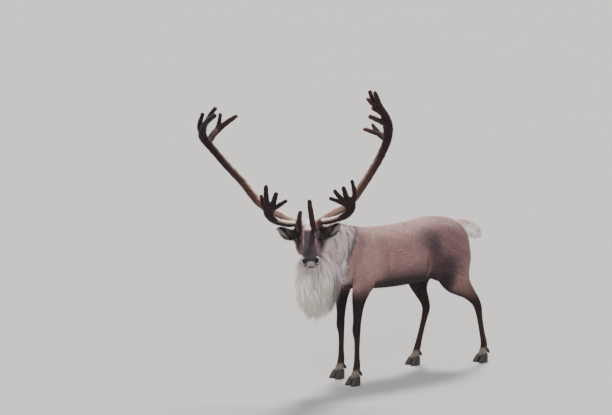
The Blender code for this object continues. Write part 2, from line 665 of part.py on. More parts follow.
def mane_locks(neck, helpers):
    """Tiers of overlapping locks that hang round the throat mane."""
    surface = surface_of(neck.data)
    dice = random.Random(11)
    down = Vector((0.0, 0.0, -1.0))
    locks = []
    for tier, (height, count, length) in enumerate(MANE_TIERS):
        for i in range(count):
            bearing = 2 * math.pi * (i + 0.5 * (tier % 2) + dice.uniform(-0.2, 0.2)) / count
            lift = math.radians(height + dice.uniform(-6, 6))
            outward = Vector((math.cos(bearing) * math.cos(lift), math.sin(bearing) * math.cos(lift), math.sin(lift)))
            hit, normal = surface.ray_cast(MANE_MIDDLE + outward * 0.30, -outward)[:2]
            if hit is None or (hit - MANE_MIDDLE).length > 0.29 or hit.x > -0.74 or normal.dot(outward) < 0.3:
                continue
            aim = (down - normal * down.dot(normal)) * 0.7 + down * 0.4 + normal * dice.uniform(0.06, 0.16)
            aim += Vector((dice.uniform(-0.08, 0.08), dice.uniform(-0.08, 0.08), 0.0))
            aim.normalize()
            broad, thick = dice.uniform(0.046, 0.064), dice.uniform(0.014, 0.019)
            root = hit - normal * thick * 0.6 - aim * 0.02
            face = normal if abs(normal.dot(aim)) < 0.9 else Vector((math.cos(bearing), math.sin(bearing), 0.0))
            locks.append(lock(root, aim, face, length * dice.uniform(0.85, 1.15), broad, thick, 0.012, helpers))
    combined(neck, locks, "UNION")
    return keep_largest(neck)


def build_head(parts, helpers, finish, dark):
    """The head with lidded eyes, nostrils and the line of the mouth, and the two eyes."""
    neck = loft("neck", refined(NECK, 3), 28, BODY_RIGHT, 0.95)
    skin = fused_skin("head_skin", [neck] + head_meshes(), 0.0045, 6, HEAD_DETAIL, helpers)
    point, normal = neck_cut()
    head = placed("head", cut_by_plane(skin.data, point, -normal), parts, finish)
    bpy.data.objects.remove(skin)
    turn = HEAD_PLACE.to_3x3().to_4x4()
    lids, cutters, eyes = [], [], []
    for side, word in ((1, "left"), (-1, "right")):
        centre = on_head(EYE.x, side * EYE.y, EYE.z)
        lid = EYE_RADIUS + LID_THICKNESS
        lids.append(placed("lid", ball("lid", centre, (lid,) * 3, turn, 14, 8), helpers))
        socket = EYE_RADIUS + GAP
        cutters.append(placed("socket", ball("socket", centre, (socket,) * 3, turn, 14, 8), helpers))
        slant = turn @ Matrix.Rotation(side * math.radians(-8), 4, "Z") @ Matrix.Rotation(math.radians(12), 4, "Y")
        opening = ball("lid_opening", on_head(EYE.x + 0.001, side * (EYE.y + 0.019), EYE.z), (0.0175, 0.013, 0.0115), slant, 12, 8)
        cutters.append(placed("lid_opening", opening, helpers))
        flare = turn @ Matrix.Rotation(side * math.radians(35), 4, "Z") @ Matrix.Rotation(math.radians(25), 4, "Y")
        nostril = ball("nostril", on_head(NOSTRIL.x, side * NOSTRIL.y, NOSTRIL.z), (0.019, 0.0085, 0.0125), flare, 10, 6)
        cutters.append(placed("nostril", nostril, helpers))
        eyes.append(placed(f"eye_{word}", ball("eye", centre, (EYE_RADIUS,) * 3, turn, 14, 8), parts, dark))
    combined(head, lids, "UNION")
    cutters.append(mouth_line(head, helpers))
    combined(head, cutters, "DIFFERENCE")
    return keep_largest(head), eyes


def mouth_line(head, helpers):
    """A thin tube laid on the lips from corner to corner, which cuts the line of the mouth."""
    surface = BVHTree.FromPolygons(
        [vert.co for vert in head.data.vertices], [face.vertices for face in head.data.polygons]
    )
    inside = on_head(MOUTH_CORNER, 0.0, MOUTH_HEIGHT)
    rows = []
    for step in range(-10, 11):
        share = step / 10
        bearing = share * math.radians(92)
        outward = HEAD_PLACE.to_3x3() @ Vector((math.cos(bearing), math.sin(bearing), 0.0))
        hit = surface.ray_cast(inside + outward * 0.2, -outward)[0]
        lift = HEAD_UP * (0.006 * share ** 2)
        radius = 0.0032 * (1.0 - 0.45 * abs(share))
        rows.append((*(hit + lift), radius, radius, radius))
    return placed("mouth_line", loft("mouth_line", rows, 8, HEAD_UP), helpers)


def build_ear(word, side, head, neck, parts, helpers, finish):
    """A cupped leaf of an ear, a tube at its root, whose mouth faces forward and out."""
    root = on_head(EAR_ROOT.x, side * EAR_ROOT.y, EAR_ROOT.z)
    tip = on_head(EAR_AIM.x, side * EAR_AIM.y, EAR_AIM.z)
    along = (tip - root).normalized()
    facing = (HEAD_FORWARD * 0.95 - HEAD_UP * 0.30).normalized()
    facing = (facing - along * facing.dot(along)).normalized()
    across = along.cross(facing)
    rows = [
        (0.00, 0.020, 170), (0.20, 0.023, 166), (0.34, 0.030, 146), (0.48, 0.039, 116),
        (0.64, 0.042, 94), (0.80, 0.035, 78), (0.92, 0.022, 66), (1.00, 0.007, 60),
    ]
    bm = bmesh.new()
    loops = []
    steps = 6
    for share, radius, half_arc in rows:
        loop = []
        curl = facing * (0.012 * math.sin(math.pi * share)) - facing * 0.012 * share
        for k in range(steps + 1):
            angle = math.radians(half_arc) * (2 * k / steps - 1)
            spread = across * math.sin(angle) - facing * math.cos(angle)
            loop.append(bm.verts.new(root + along * (EAR_LENGTH * share) + spread * radius + curl + facing * radius * 0.4))
        loops.append(loop)
    for a, b in zip(loops, loops[1:]):
        for k in range(steps):
            bm.faces.new((a[k], a[k + 1], b[k + 1], b[k]))
    ear = placed(f"ear_{word}", mesh_of("ear", bm), parts, finish)
    wall = ear.modifiers.new("wall", "SOLIDIFY")
    wall.thickness = EAR_WALL
    wall.offset = 0.0
    wall.use_even_offset = False
    settled(ear)
    plug = ball("plug", root + along * (0.20 * EAR_LENGTH), (0.021, 0.021, 0.021), None, 10, 6)
    combined(ear, [placed("plug", plug, helpers)], "UNION")
    combined(ear, [swollen("clear_of_head", head.data, GAP * 1.2, helpers)], "DIFFERENCE")
    combined(ear, [swollen("clear_of_neck", neck.data, GAP * 1.2, helpers)], "DIFFERENCE")
    return keep_largest(ear)


def antler_rows(table, side, extra=0.0):
    """Rows laid out level with the heading, moved to the body, for one side of the head."""
    rows = []
    for outward, forward, up, half, thick in table:
        centre = LEVEL_PLACE @ Vector((forward, side * outward, up))
        rows.append((*centre, half + extra, thick + extra, thick + extra))
    return rows


def antler_tube(name, table, side, collection, finish=None, grown=0.0, steps=2, rounded=True):
    """A smooth tapering tube through the rows, round at its end."""
    hint = LEVEL_PLACE.to_3x3() @ Vector((0.35, side * 1.0, 0.0))
    mesh = loft(name, refined(antler_rows(table, side, grown), steps), 7, hint, rounded_end=rounded)
    return placed(name, mesh, collection, finish)


def beam_cut(table, row, side):
    """The plane across the beam at a row, facing its tip."""
    rows = antler_rows(table, side)
    ahead, behind = Vector(rows[row + 1][:3]), Vector(rows[row - 1][:3])
    return Vector(rows[row][:3]), (ahead - behind).normalized()


def build_antler(word, side, beam, parts_at, crown, rear, bez, brow, head, parts, helpers, finish):
    """One antler: its beam in three lengths, the crown's tines, and the rear, bez and brow tines."""
    low, high = parts_at
    lengths = {"base": beam[: low + 2], "middle": beam[low - 1 : high + 2], "crown": beam[high - 1 :]}
    made = {}
    for piece, rows in lengths.items():
        name = f"antler_{word}_{piece}"
        made[piece] = antler_tube(name, rows, side, parts, finish, rounded=piece == "crown")
    for piece, row, facing in (("base", low, 1), ("middle", low, -1), ("middle", high, 1), ("crown", high, -1)):
        point, normal = beam_cut(beam, row, side)
        cut = cut_by_plane(made[piece].data, point, normal * facing)
        cut.materials.clear()
        cut.materials.append(finish)
        made[piece].data = cut
    tines = [antler_tube("tine", rows, side, helpers, steps=1) for rows in crown]
    combined(made["crown"], tines, "UNION")
    point, normal = beam_cut(beam, high, side)
    trimmed = cut_by_plane(made["crown"].data, point, -normal)
    trimmed.materials.append(finish)
    made["crown"].data = trimmed
    combined(made["base"], [swollen("clear_of_head", head.data, GAP * 1.2, helpers)], "DIFFERENCE")
    for piece, tables in (("rear_tine", rear), ("bez_tine", bez), ("brow_tine", brow)):
        name = f"antler_{word}_{piece}"
        made[piece] = antler_tube(name, tables[0], side, parts, finish, rounded=True)
        prongs = [antler_tube("prong", rows, side, helpers, steps=1) for rows in tables[1:]]
        if prongs:
            combined(made[piece], prongs, "UNION")
        clear = [antler_tube("clear_of_beam", beam, side, helpers, grown=GAP * 1.2)]
        if piece != "rear_tine":
            clear.append(swollen("clear_of_head", head.data, GAP * 1.2, helpers))
        if piece == "brow_tine":
            clear.append(antler_tube("clear_of_bez", bez[0], side, helpers, grown=GAP * 1.2))
        for cutter in clear:
            combined(made[piece], [cutter], "DIFFERENCE")
    for obj in made.values():
        keep_largest(obj)
    return made


def build_tail(rump, parts, helpers, finish):
    """A short level tail, its root cut to the rump."""
    tail = placed("tail", loft("tail", refined(TAIL, 2), 12, BODY_RIGHT), parts, finish)
    combined(tail, [swollen("clear_of_rump", rump.data, GAP * 1.2, helpers)], "DIFFERENCE")
    return keep_largest(tail)


def build_feet(leg, rows, lower, parts, helpers, finish):
    """Two splayed hoof claws under the leg, flat on the floor, and two dewclaws behind it."""
    ankle = Vector(rows[-1][:3])
    for outward, word in ((1, "outer"), (-1, "inner")):
        lateral = outward if ankle.y > 0 else -outward
        swing = math.pi - HOOF_SPREAD * lateral
        bm = bmesh.new()
        rings = [(0.0, 1.00, 1.00, -0.016), (0.012, 1.02, 1.02, -0.015), (0.040, 0.80, 0.88, -0.006), (HOOF_TOP - GAP / 2, 0.60, 0.72, 0.002)]
        loops = []
        for height, long, wide, ahead in rings:
            loop = []
            for k in range(10):
                angle = 2 * math.pi * k / 10
                point = Vector((math.cos(angle) * HOOF_LENGTH / 2 * long - ahead, math.sin(angle) * HOOF_WIDTH / 2 * wide, height))
                toe = max(0.0, math.cos(angle))
                point.y *= 1.0 - 0.35 * toe ** 2
                loop.append(bm.verts.new(point))
            loops.append(loop)
        for a, b in zip(loops, loops[1:]):
            for k in range(10):
                bm.faces.new((a[k], a[(k + 1) % 10], b[(k + 1) % 10], b[k]))
        bm.faces.new(loops[0])
        bm.faces.new(loops[-1])
        centre = Vector((ankle.x, ankle.y + lateral * (HOOF_WIDTH / 2 + 0.0012), 0.0))
        bmesh.ops.transform(bm, matrix=Matrix.Translation(centre) @ Matrix.Rotation(swing, 4, "Z"), verts=bm.verts)
        placed(f"hoof_{leg}_{word}", mesh_of("hoof", bm), parts, finish)
        claw_rows = [
            (ankle.x + 0.016, ankle.y + lateral * 0.016, DEWCLAW_HEIGHT + 0.034, 0.010, 0.010, 0.010),
            (ankle.x + 0.038, ankle.y + lateral * 0.021, DEWCLAW_HEIGHT + 0.008, 0.0105, 0.009, 0.009),
            (ankle.x + 0.050, ankle.y + lateral * 0.024, DEWCLAW_HEIGHT - 0.018, 0.006, 0.005, 0.005),
        ]
        claw = placed(f"dewclaw_{leg}_{word}", loft("dewclaw", claw_rows, 5, BODY_RIGHT, rounded_end=True), parts, finish)
        combined(claw, [swollen("clear_of_leg", lower.data, GAP * 1.2, helpers)], "DIFFERENCE")
        keep_largest(claw)


BODY_DETAIL = 0.022
HEAD_DETAIL = 0.011


def main():
    clear_scene()
    random.seed(7)
    parts = collection_of("caribou")
    helpers = collection_of("helpers", hidden=True)
    brown = material("body_coat", (0.23, 0.16, 0.14), 0.9)
    pale = material("neck_coat", (0.52, 0.46, 0.42), 0.9)
    dark = material("leg_coat", (0.09, 0.07, 0.07), 0.9)
    face = material("face_coat", (0.16, 0.12, 0.12), 0.85)
    white = material("tail_coat", (0.80, 0.77, 0.74), 0.9)
    velvet = material("velvet", (0.13, 0.07, 0.055), 0.85)
    horn = material("hoof_horn", (0.03, 0.027, 0.025), 0.5)
    eye = material("eye", (0.012, 0.009, 0.008), 0.12)
    coat = {name: brown for name in ("torso_rump", "torso_barrel", "torso_chest")}
    coat["neck"] = pale
    for leg in LEGS:
        coat[f"leg_{leg}_upper"] = coat[f"leg_{leg}_lower"] = dark
    body = build_body(parts, helpers, coat)
    mane_locks(body["neck"], helpers)
    head, _ = build_head(parts, helpers, face, eye)
    build_ear("left", 1, head, body["neck"], parts, helpers, face)
    build_ear("right", -1, head, body["neck"], parts, helpers, face)
    build_tail(body["torso_rump"], parts, helpers, white)
    for leg, rows in LEGS.items():
        build_feet(leg, rows, body[f"leg_{leg}_lower"], parts, helpers, horn)
    build_antler(
        "left", 1, BEAM_LEFT, BEAM_PARTS_LEFT, CROWN_TINES_LEFT, REAR_TINE_LEFT, BEZ_LEFT, BROW_LEFT,
        head, parts, helpers, velvet,
    )
    build_antler(
        "right", -1, BEAM_RIGHT, BEAM_PARTS_RIGHT, CROWN_TINES_RIGHT, REAR_TINE_RIGHT, BEZ_RIGHT, BROW_RIGHT,
        head, parts, helpers, velvet,
    )
    for obj in parts.objects:
        obj.data.transform(Matrix.Translation(-BOX_MIDDLE))
        obj.data.shade_smooth()
        obj.data.set_sharp_from_angle(angle=math.radians(42))
    total = 0
    low, high = [1e9] * 3, [-1e9] * 3
    for obj in parts.objects:
        obj.data.calc_loop_triangles()
        total += len(obj.data.loop_triangles)
        print(obj.name, len(obj.data.loop_triangles))
        for vert in obj.data.vertices:
            low = [min(a, b) for a, b in zip(low, vert.co)]
            high = [max(a, b) for a, b in zip(high, vert.co)]
    print("triangles", total, "low", low, "high", high)


main()
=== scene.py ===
# %% [markdown]
# # A bull caribou in summer velvet
# The solids of this animal are already made. This lesson dresses them: a smooth skin
# without seams, a coat of many small tufts, a hanging throat mane, velvet antlers, wet dark eyes
# and worn hooves. Everything is worked out in metres in the frame of the solids, so a new piece
# goes where the old one is.

# %% The frame, and where things are kept
import math
from functools import partial

import bpy
import numpy as np
from mathutils import Matrix, Vector
from mathutils.bvhtree import BVHTree


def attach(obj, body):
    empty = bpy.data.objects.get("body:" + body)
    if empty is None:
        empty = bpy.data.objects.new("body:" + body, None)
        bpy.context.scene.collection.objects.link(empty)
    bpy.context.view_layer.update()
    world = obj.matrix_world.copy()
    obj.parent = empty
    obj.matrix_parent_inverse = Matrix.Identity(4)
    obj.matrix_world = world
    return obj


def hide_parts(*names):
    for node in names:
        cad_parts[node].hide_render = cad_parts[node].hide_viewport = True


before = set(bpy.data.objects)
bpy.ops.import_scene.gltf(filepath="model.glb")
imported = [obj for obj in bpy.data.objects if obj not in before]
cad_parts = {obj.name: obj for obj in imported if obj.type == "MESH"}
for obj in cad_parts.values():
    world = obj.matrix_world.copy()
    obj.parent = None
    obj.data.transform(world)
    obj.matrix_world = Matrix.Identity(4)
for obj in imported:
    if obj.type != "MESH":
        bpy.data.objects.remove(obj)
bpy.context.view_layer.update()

# %% [markdown]
# ## The camera
# The animal was seen from its left front and a little above, from far off, with a long lens. The
# camera is made first, because it decides how much detail each place needs. It stands 22 m away,
# and its lens makes one metre at the animal 138 pixels wide in a picture of 612.

# %% Camera
BOX_MIDDLE = Vector((-0.4060, 0.0194, 0.0))
AIMED_AT = Vector((-0.561, 0.471, 1.206)) - BOX_MIDDLE
TOWARDS_CAMERA = Vector((-0.6349, -0.7566, 0.1564))
CAMERA_DISTANCE = 22.0
PICTURE_WIDTH, PIXELS_PER_METRE, SENSOR = 612, 138.0, 36.0

bpy.ops.object.camera_add(location=AIMED_AT + TOWARDS_CAMERA * CAMERA_DISTANCE)
camera = bpy.context.object
camera.rotation_euler = (-TOWARDS_CAMERA).to_track_quat("-Z", "Y").to_euler()
camera.data.sensor_width = SENSOR
camera.data.lens = SENSOR * CAMERA_DISTANCE * PIXELS_PER_METRE / PICTURE_WIDTH
camera.data.clip_end = 400.0
bpy.context.scene.camera = camera
print("camera lens", round(camera.data.lens, 1), "mm")

# %% [markdown]
# ## Sizes of the animal
# The same named rows that the solids were lofted from: the trunk, neck, mane, legs and tail are
# stacks of ovals, and the head is laid out in its own directions of forward, left and up, then
# turned into place. Each row gives a ring's centre and how far it reaches each way.

# %% Body rows, in millimetres
def metres(rows):
    """A table in millimetres as an array in metres."""
    return np.array(rows) / 1000


TRUNK = metres([  # distance back, top, bottom, half width, widest height
    (572, 1000, 830, 45, 920), (542, 1042, 755, 108, 910), (478, 1083, 705, 150, 900),
    (380, 1119, 676, 172, 890), (250, 1134, 658, 182, 870), (100, 1119, 642, 194, 850),
    (-50, 1108, 636, 202, 840), (-200, 1106, 636, 200, 840), (-330, 1110, 642, 186, 850),
    (-430, 1112, 648, 178, 855), (-520, 1075, 654, 170, 850), (-600, 1010, 668, 146, 840),
    (-660, 940, 702, 104, 825), (-695, 880, 756, 50, 815),
])
NECK = metres([  # centre, half width, reach above, reach below
    (-400, 0, 920, 148, 190, 235), (-540, -8, 950, 138, 192, 220), (-670, -34, 990, 120, 180, 190),
    (-790, -68, 1030, 102, 156, 155), (-910, -106, 1060, 90, 130, 116),
    (-1030, -146, 1088, 78, 98, 66),
])
MANE = metres([  # the same
    (-720, -48, 930, 60, 90, 120), (-780, -66, 920, 78, 100, 165), (-850, -90, 905, 88, 120, 215),
    (-920, -112, 900, 92, 130, 250), (-985, -134, 905, 88, 130, 252),
    (-1040, -154, 915, 70, 110, 210), (-1077, -168, 925, 38, 65, 130),
])
TAIL = metres([  # the same
    (480, 0, 1030, 30, 26, 30), (545, 0, 1020, 38, 30, 36), (600, 0, 1002, 48, 30, 52),
    (655, 0, 980, 46, 26, 52), (700, 0, 960, 30, 16, 30), (722, 0, 946, 8, 5, 8),
])
MASSES = metres([  # muscle over each joint: centre and three half sizes
    (-485, -132, 715, 55, 40, 60), (-440, 132, 715, 55, 40, 60), (200, -128, 735, 95, 50, 80),
    (120, 128, 735, 90, 50, 80),
])

# %% Leg rows: centre, half width, reach in front, reach behind; in millimetres
LEGS = {
    "front_left": metres([
        (-470, -105, 900, 60, 130, 120), (-500, -124, 780, 62, 115, 100),
        (-545, -127, 680, 52, 85, 82), (-570, -124, 590, 42, 56, 54), (-580, -122, 470, 32, 36, 34),
        (-586, -121, 390, 32, 37, 32), (-583, -122, 320, 24, 25, 26), (-587, -125, 210, 22, 23, 25),
        (-590, -127, 125, 28, 28, 31), (-609, -129, 50, 32, 33, 31),
    ]),
    "front_right": metres([
        (-430, 105, 900, 60, 130, 120), (-455, 124, 780, 62, 115, 100),
        (-496, 127, 680, 52, 85, 82), (-516, 124, 590, 42, 56, 54), (-524, 122, 470, 32, 36, 34),
        (-528, 121, 390, 32, 37, 32), (-522, 122, 320, 24, 25, 26), (-520, 125, 210, 22, 23, 25),
        (-520, 127, 125, 28, 28, 31), (-537, 129, 50, 32, 33, 31),
    ]),
    "hind_left": metres([
        (365, -85, 960, 60, 150, 145), (358, -110, 850, 68, 180, 172),
        (358, -123, 745, 66, 190, 162), (390, -125, 660, 57, 150, 128),
        (435, -124, 600, 46, 100, 88), (497, -122, 540, 37, 60, 60), (567, -119, 468, 29, 38, 46),
        (600, -118, 415, 28, 34, 38), (618, -119, 340, 24, 26, 27), (642, -121, 220, 23, 24, 25),
        (660, -123, 130, 27, 27, 31), (645, -125, 50, 32, 34, 32),
    ]),
    "hind_right": metres([
        (340, 85, 960, 60, 150, 150), (300, 110, 850, 68, 175, 180), (255, 123, 745, 66, 170, 180),
        (232, 125, 660, 57, 130, 140), (232, 124, 600, 46, 90, 96), (249, 122, 540, 37, 58, 62),
        (285, 119, 462, 29, 38, 46), (298, 118, 405, 28, 34, 38), (280, 119, 330, 24, 26, 27),
        (245, 121, 215, 23, 24, 25), (220, 123, 130, 27, 27, 31), (195, 125, 50, 32, 34, 32),
    ]),
}
HOOF_TOP, HOOF_LENGTH, HOOF_WIDTH, HOOF_SPREAD = 0.062, 0.098, 0.045, math.radians(9)
DEWCLAW_HEIGHT = 0.078

# %% Head rows, and how the head is carried
POLL = Vector((-1.061, -0.154, 1.205))
HEADING, PITCH, ROLL = math.radians(50), math.radians(20), math.radians(4)
HEAD = metres([  # distance forward, top, bottom, half width, widest height
    (-100, -40, -165, 68, -90), (-50, -6, -172, 84, -85), (0, 10, -176, 90, -78),
    (50, 10, -178, 92, -70), (100, 3, -168, 90, -62), (140, -9, -154, 80, -66),
    (190, -22, -148, 66, -76), (240, -30, -143, 57, -80), (290, -34, -139, 54, -84),
    (330, -36, -139, 56, -86), (365, -39, -137, 58, -88), (392, -48, -127, 52, -89),
    (407, -66, -108, 34, -88),
])
HEAD_FORMS = metres([  # rounded forms on each side: place and half sizes
    (106, 63, -17, 46, 20, 15),  # brow
    (95, 56, -106, 92, 32, 50),  # cheek
    (362, 40, -66, 27, 21, 24),  # nose wing
    (-4, 46, 4, 36, 32, 26),  # pedicle
    (-14, 72, -72, 26, 22, 26),  # ear base
])
MUZZLE_FORMS = metres([
    (345, 0, -128, 40, 36, 22),  # chin
    (378, 0, -92, 26, 40, 18),  # upper lip
])
EYE, EYE_RADIUS = Vector((0.112, 0.0725, -0.036)), 0.0190
EAR_ROOT, EAR_AIM, EAR_LENGTH = Vector((-0.014, 0.072, -0.072)), Vector((-0.074, 0.234, -0.060)), 0.168
NOSTRIL = Vector((0.380, 0.040, -0.066))
SIDES = (("left", 1), ("right", -1))
MOUTH_CORNER, MOUTH_HEIGHT = 0.292, -0.107


def head_place():
    """The turn of the level head and of the nodding head."""
    forward = Vector((-math.cos(HEADING), -math.sin(HEADING), 0.0))
    up = Vector((0.0, 0.0, 1.0))
    left = up.cross(forward)
    left, up = (
        left * math.cos(ROLL) + up * math.sin(ROLL),
        up * math.cos(ROLL) - left * math.sin(ROLL),
    )
    level = Matrix((forward, left, up)).transposed()
    return level, level @ Matrix.Rotation(PITCH, 3, "Y")


LEVEL_TURN, HEAD_TURN = head_place()
HEAD_FORWARD, HEAD_LEFT, HEAD_UP = HEAD_TURN.col[0], HEAD_TURN.col[1], HEAD_TURN.col[2]


def on_head(x, y, z):
    """A place on the head as a point of the frame."""
    return POLL + HEAD_TURN @ Vector((x, y, z)) - BOX_MIDDLE


print("nose tip at", tuple(round(v, 3) for v in on_head(0.407, 0, -0.09)))

# %% [markdown]
# ## Tools of the bench
# Blender's operators act on what is selected, so one helper selects a single object, and another
# adds a modifier and applies it at once. A mesh's points are read and written as one array,
# because moving a hundred thousand points one by one would take minutes.

# %% Helpers for objects and arrays
def only(obj):
    """Selects this object alone."""
    bpy.ops.object.select_all(action="DESELECT")
    obj.select_set(True)
    bpy.context.view_layer.objects.active = obj


def primitive(name, operator, **settings):
    """One of Blender's own shapes at the origin, under this name."""
    operator(location=(0, 0, 0), **settings)
    bpy.context.object.name = name
    return bpy.context.object


def applied(obj, kind, **settings):
    """Adds a modifier with its settings and applies it."""
    only(obj)
    change = obj.modifiers.new(kind.lower(), kind)
    for name, value in settings.items():
        setattr(change, name, value)
    bpy.ops.object.modifier_apply(modifier=change.name)


def melted(obj, voxel, smoothing):
    """Remeshes to one surface and smooths away the steps of its voxels."""
    applied(obj, "REMESH", mode="VOXEL", voxel_size=voxel)
    applied(obj, "SMOOTH", factor=0.5, iterations=smoothing)


def edited(obj, operator, **settings):
    """Runs an operator of edit mode on the whole mesh."""
    only(obj)
    bpy.ops.object.mode_set(mode="EDIT")
    bpy.ops.mesh.select_all(action="SELECT")
    operator(**settings)
    bpy.ops.object.mode_set(mode="OBJECT")


def joined(name, objects):
    """Joins the objects to one with this name."""
    only(objects[0])
    for obj in objects:
        obj.select_set(True)
    bpy.ops.object.join()
    objects[0].name = name
    return objects[0]


def points_of(mesh, field="co", collection="vertices"):
    """One field of a mesh as an array of rows of three."""
    rows = getattr(mesh, collection)
    values = np.empty(len(rows) * 3, np.float32)
    rows.foreach_get(field, values)
    return values.reshape(-1, 3).astype(float)


def surface(obj):
    """An object's points, and the way out of the surface at each."""
    return points_of(obj.data), points_of(obj.data, "vector", "vertex_normals")


def put_points(mesh, points):
    mesh.vertices.foreach_set("co", points.astype(np.float32).ravel())
    mesh.update()


def unit(rows):
    return rows / np.maximum(np.linalg.norm(rows, axis=-1, keepdims=True), 1e-9)


def laid_flat(flow, normals, share=1.0):
    """Directions along the flow, without this share of what leaves the surface."""
    return unit(flow - normals * ((flow * normals).sum(axis=1) * share)[:, None])


def ease(start, end, value):
    """0 before start, 1 past end, and smooth between."""
    t = np.clip((value - start) / (end - start), 0.0, 1.0)
    return t * t * (3.0 - 2.0 * t)


def spot(points, centre, radii, core=0.45):
    """1 inside an oval, fading to 0 at its edge."""
    away = np.linalg.norm((points - np.array(centre)) / np.array(radii), axis=1)
    return 1.0 - ease(core, 1.0, away)


def ripple(points, size, seed):
    """A smooth wandering field between about -1 and 1, with waves about this long."""
    dice = np.random.default_rng(seed)
    total = np.zeros(len(points))
    for _ in range(7):
        wave = dice.normal(size=3)
        wave *= 2 * math.pi / size * dice.uniform(0.6, 1.6) / np.linalg.norm(wave)
        total += np.sin(points @ wave + dice.uniform(0.0, 2 * math.pi))
    return total / 3.0


def in_layout(points):
    return points + np.array(BOX_MIDDLE)


def in_head(points):
    """The points in the head's own forward, left and up."""
    return (in_layout(points) - np.array(POLL)) @ np.array(HEAD_TURN)


def mirrored(rows):
    """The places with the right side laid over the left."""
    return rows * [1, 0, 1] + np.abs(rows) * [0, 1, 0]

# %% [markdown]
# ## A limb is a stack of rings
# By hand you would add a circle and extrude it again and again, scaling and turning the top ring
# each time. `stacked` does the same: it extrudes the circle once for each row, then gives every
# ring the place and size of its row. A smooth curve through the rows adds the rings between.

# %% Stacked limbs and balls
def refined(rows, steps):
    """The rows with more between them, on a smooth curve through them all."""
    rows = np.array(rows, float)
    fine = []
    last = len(rows) - 1
    for i in range(last):
        p, q, r, s = rows[max(i - 1, 0)], rows[i], rows[i + 1], rows[min(i + 2, last)]
        for t in np.arange(steps) / steps:
            bend = (2 * p - 5 * q + 4 * r - s) * t * t + (3 * q - 3 * r + s - p) * t ** 3
            fine.append(q + 0.5 * ((r - p) * t + bend))
    fine.append(rows[-1])
    return np.array(fine)


def stacked(name, rows, sides, hint, squareness=1.0, inset=0.0):
    """A closed limb: a circle extruded up through the rows and shaped by them."""
    rows = np.array(rows, float)
    obj = primitive(name, bpy.ops.mesh.primitive_circle_add, vertices=sides, radius=1.0, fill_type="NGON")
    bpy.ops.object.mode_set(mode="EDIT")
    for _ in rows[1:]:
        bpy.ops.mesh.extrude_region_move(TRANSFORM_OT_translate={"value": (0.0, 0.0, 1.0)})
    bpy.ops.object.mode_set(mode="OBJECT")
    at = points_of(obj.data)
    ring = np.rint(at[:, 2]).astype(int)
    angle = np.arctan2(at[:, 1], at[:, 0])
    centre = rows[:, :3] - np.array(BOX_MIDDLE)
    ahead = unit(np.vstack([centre[1:], centre[-1:]]) - np.vstack([centre[:1], centre[:-1]]))
    hint = np.array(hint)
    side = unit(hint - ahead * (ahead @ hint)[:, None])
    down = np.cross(ahead, side)
    c, s = np.cos(angle), np.sin(angle)
    inset = np.broadcast_to(inset, len(rows))[ring]
    reach = np.where(s > 0, rows[ring, 5], rows[ring, 4]) - inset
    across = np.sign(c) * np.abs(c) ** squareness * (rows[ring, 3] - inset)
    along = np.sign(s) * np.abs(s) ** squareness * reach
    put_points(obj.data, centre[ring] + side[ring] * across[:, None] + down[ring] * along[:, None])
    edited(obj, bpy.ops.mesh.normals_make_consistent, inside=False)
    return obj


def ball(name, centre, radii, turn=Matrix.Identity(3), segments=24, rings=14):
    """An egg of three half sizes, turned, with its place in its mesh."""
    obj = primitive(name, bpy.ops.mesh.primitive_uv_sphere_add, segments=segments, ring_count=rings, radius=1.0)
    obj.data.transform(Matrix.Translation(centre) @ turn.to_4x4() @ Matrix.Diagonal((*radii, 1.0)))
    return obj

# %% [markdown]
# ## The skin
# The coat lies over the skin, so the skin is set inside the solids by the coat's depth: about
# 14 mm on the trunk, 16 mm on the neck, 4 to 10 mm on the legs and 2 mm on the face. All the
# stacks are joined and wrapped in one new surface by a voxel remesh, which melts them together
# as muscle and hide do, and smoothing takes away the steps of the voxels.

# %% Flesh stacks
TRUNK_INSET, NECK_INSET, MANE_INSET, MASS_INSET, HEAD_INSET = 0.014, 0.016, 0.022, 0.008, 0.002
FOOT_INSET, THIGH_INSET = 0.0035, 0.0100
SKIN_VOXEL, SKIN_SMOOTHING, BODY_SMOOTHING, SKIN_TRIANGLES = 0.0045, 7, 22, 120000
TRUNK_MIDDLE, TRUNK_HALF = -0.0615, 0.6335
RIGHT = (0.0, 1.0, 0.0)


def upright(rows):
    """Rows of distance, top, bottom, half width and widest height as rings of a stack."""
    return [(x, 0.0, wide, half, top - wide, wide - bottom) for x, top, bottom, half, wide in rows]


def skin_stacks():
    trunk = refined(upright(TRUNK), 4)
    trunk[:, 0] = TRUNK_MIDDLE + (trunk[:, 0] - TRUNK_MIDDLE) * (1 - TRUNK_INSET / TRUNK_HALF)
    made = [
        stacked("trunk", trunk, 40, RIGHT, 0.92, TRUNK_INSET),
        stacked("neck", refined(NECK, 4), 36, RIGHT, 0.95, NECK_INSET),
        stacked("mane", refined(MANE, 4), 32, RIGHT, 0.85, MANE_INSET),
    ]
    for name, rows in LEGS.items():
        fine = refined(rows, 4)
        inset = FOOT_INSET + (THIGH_INSET - FOOT_INSET) * ease(0.48, 0.74, fine[:, 2])
        made.append(stacked(name, fine, 28, RIGHT, 1.0, inset))
    for x, y, z, *radii in MASSES:
        made.append(ball("mass", Vector((x, y, z)) - BOX_MIDDLE, np.array(radii) - MASS_INSET))
    return made


def head_stacks():
    rows = []
    for x, top, bottom, half, wide in refined(HEAD, 4):
        centre = POLL + HEAD_TURN @ Vector((x, 0.0, wide))
        rows.append((*centre, half, top - wide, wide - bottom))
    made = [stacked("skull", rows, 40, -HEAD_LEFT, 0.90, HEAD_INSET)]
    for forms, sides in ((HEAD_FORMS, (1, -1)), (MUZZLE_FORMS, (1,))):
        for x, y, z, *radii in forms:
            radii = np.array(radii) - HEAD_INSET
            made += [ball("form", on_head(x, side * y, z), radii, HEAD_TURN) for side in sides]
    return made


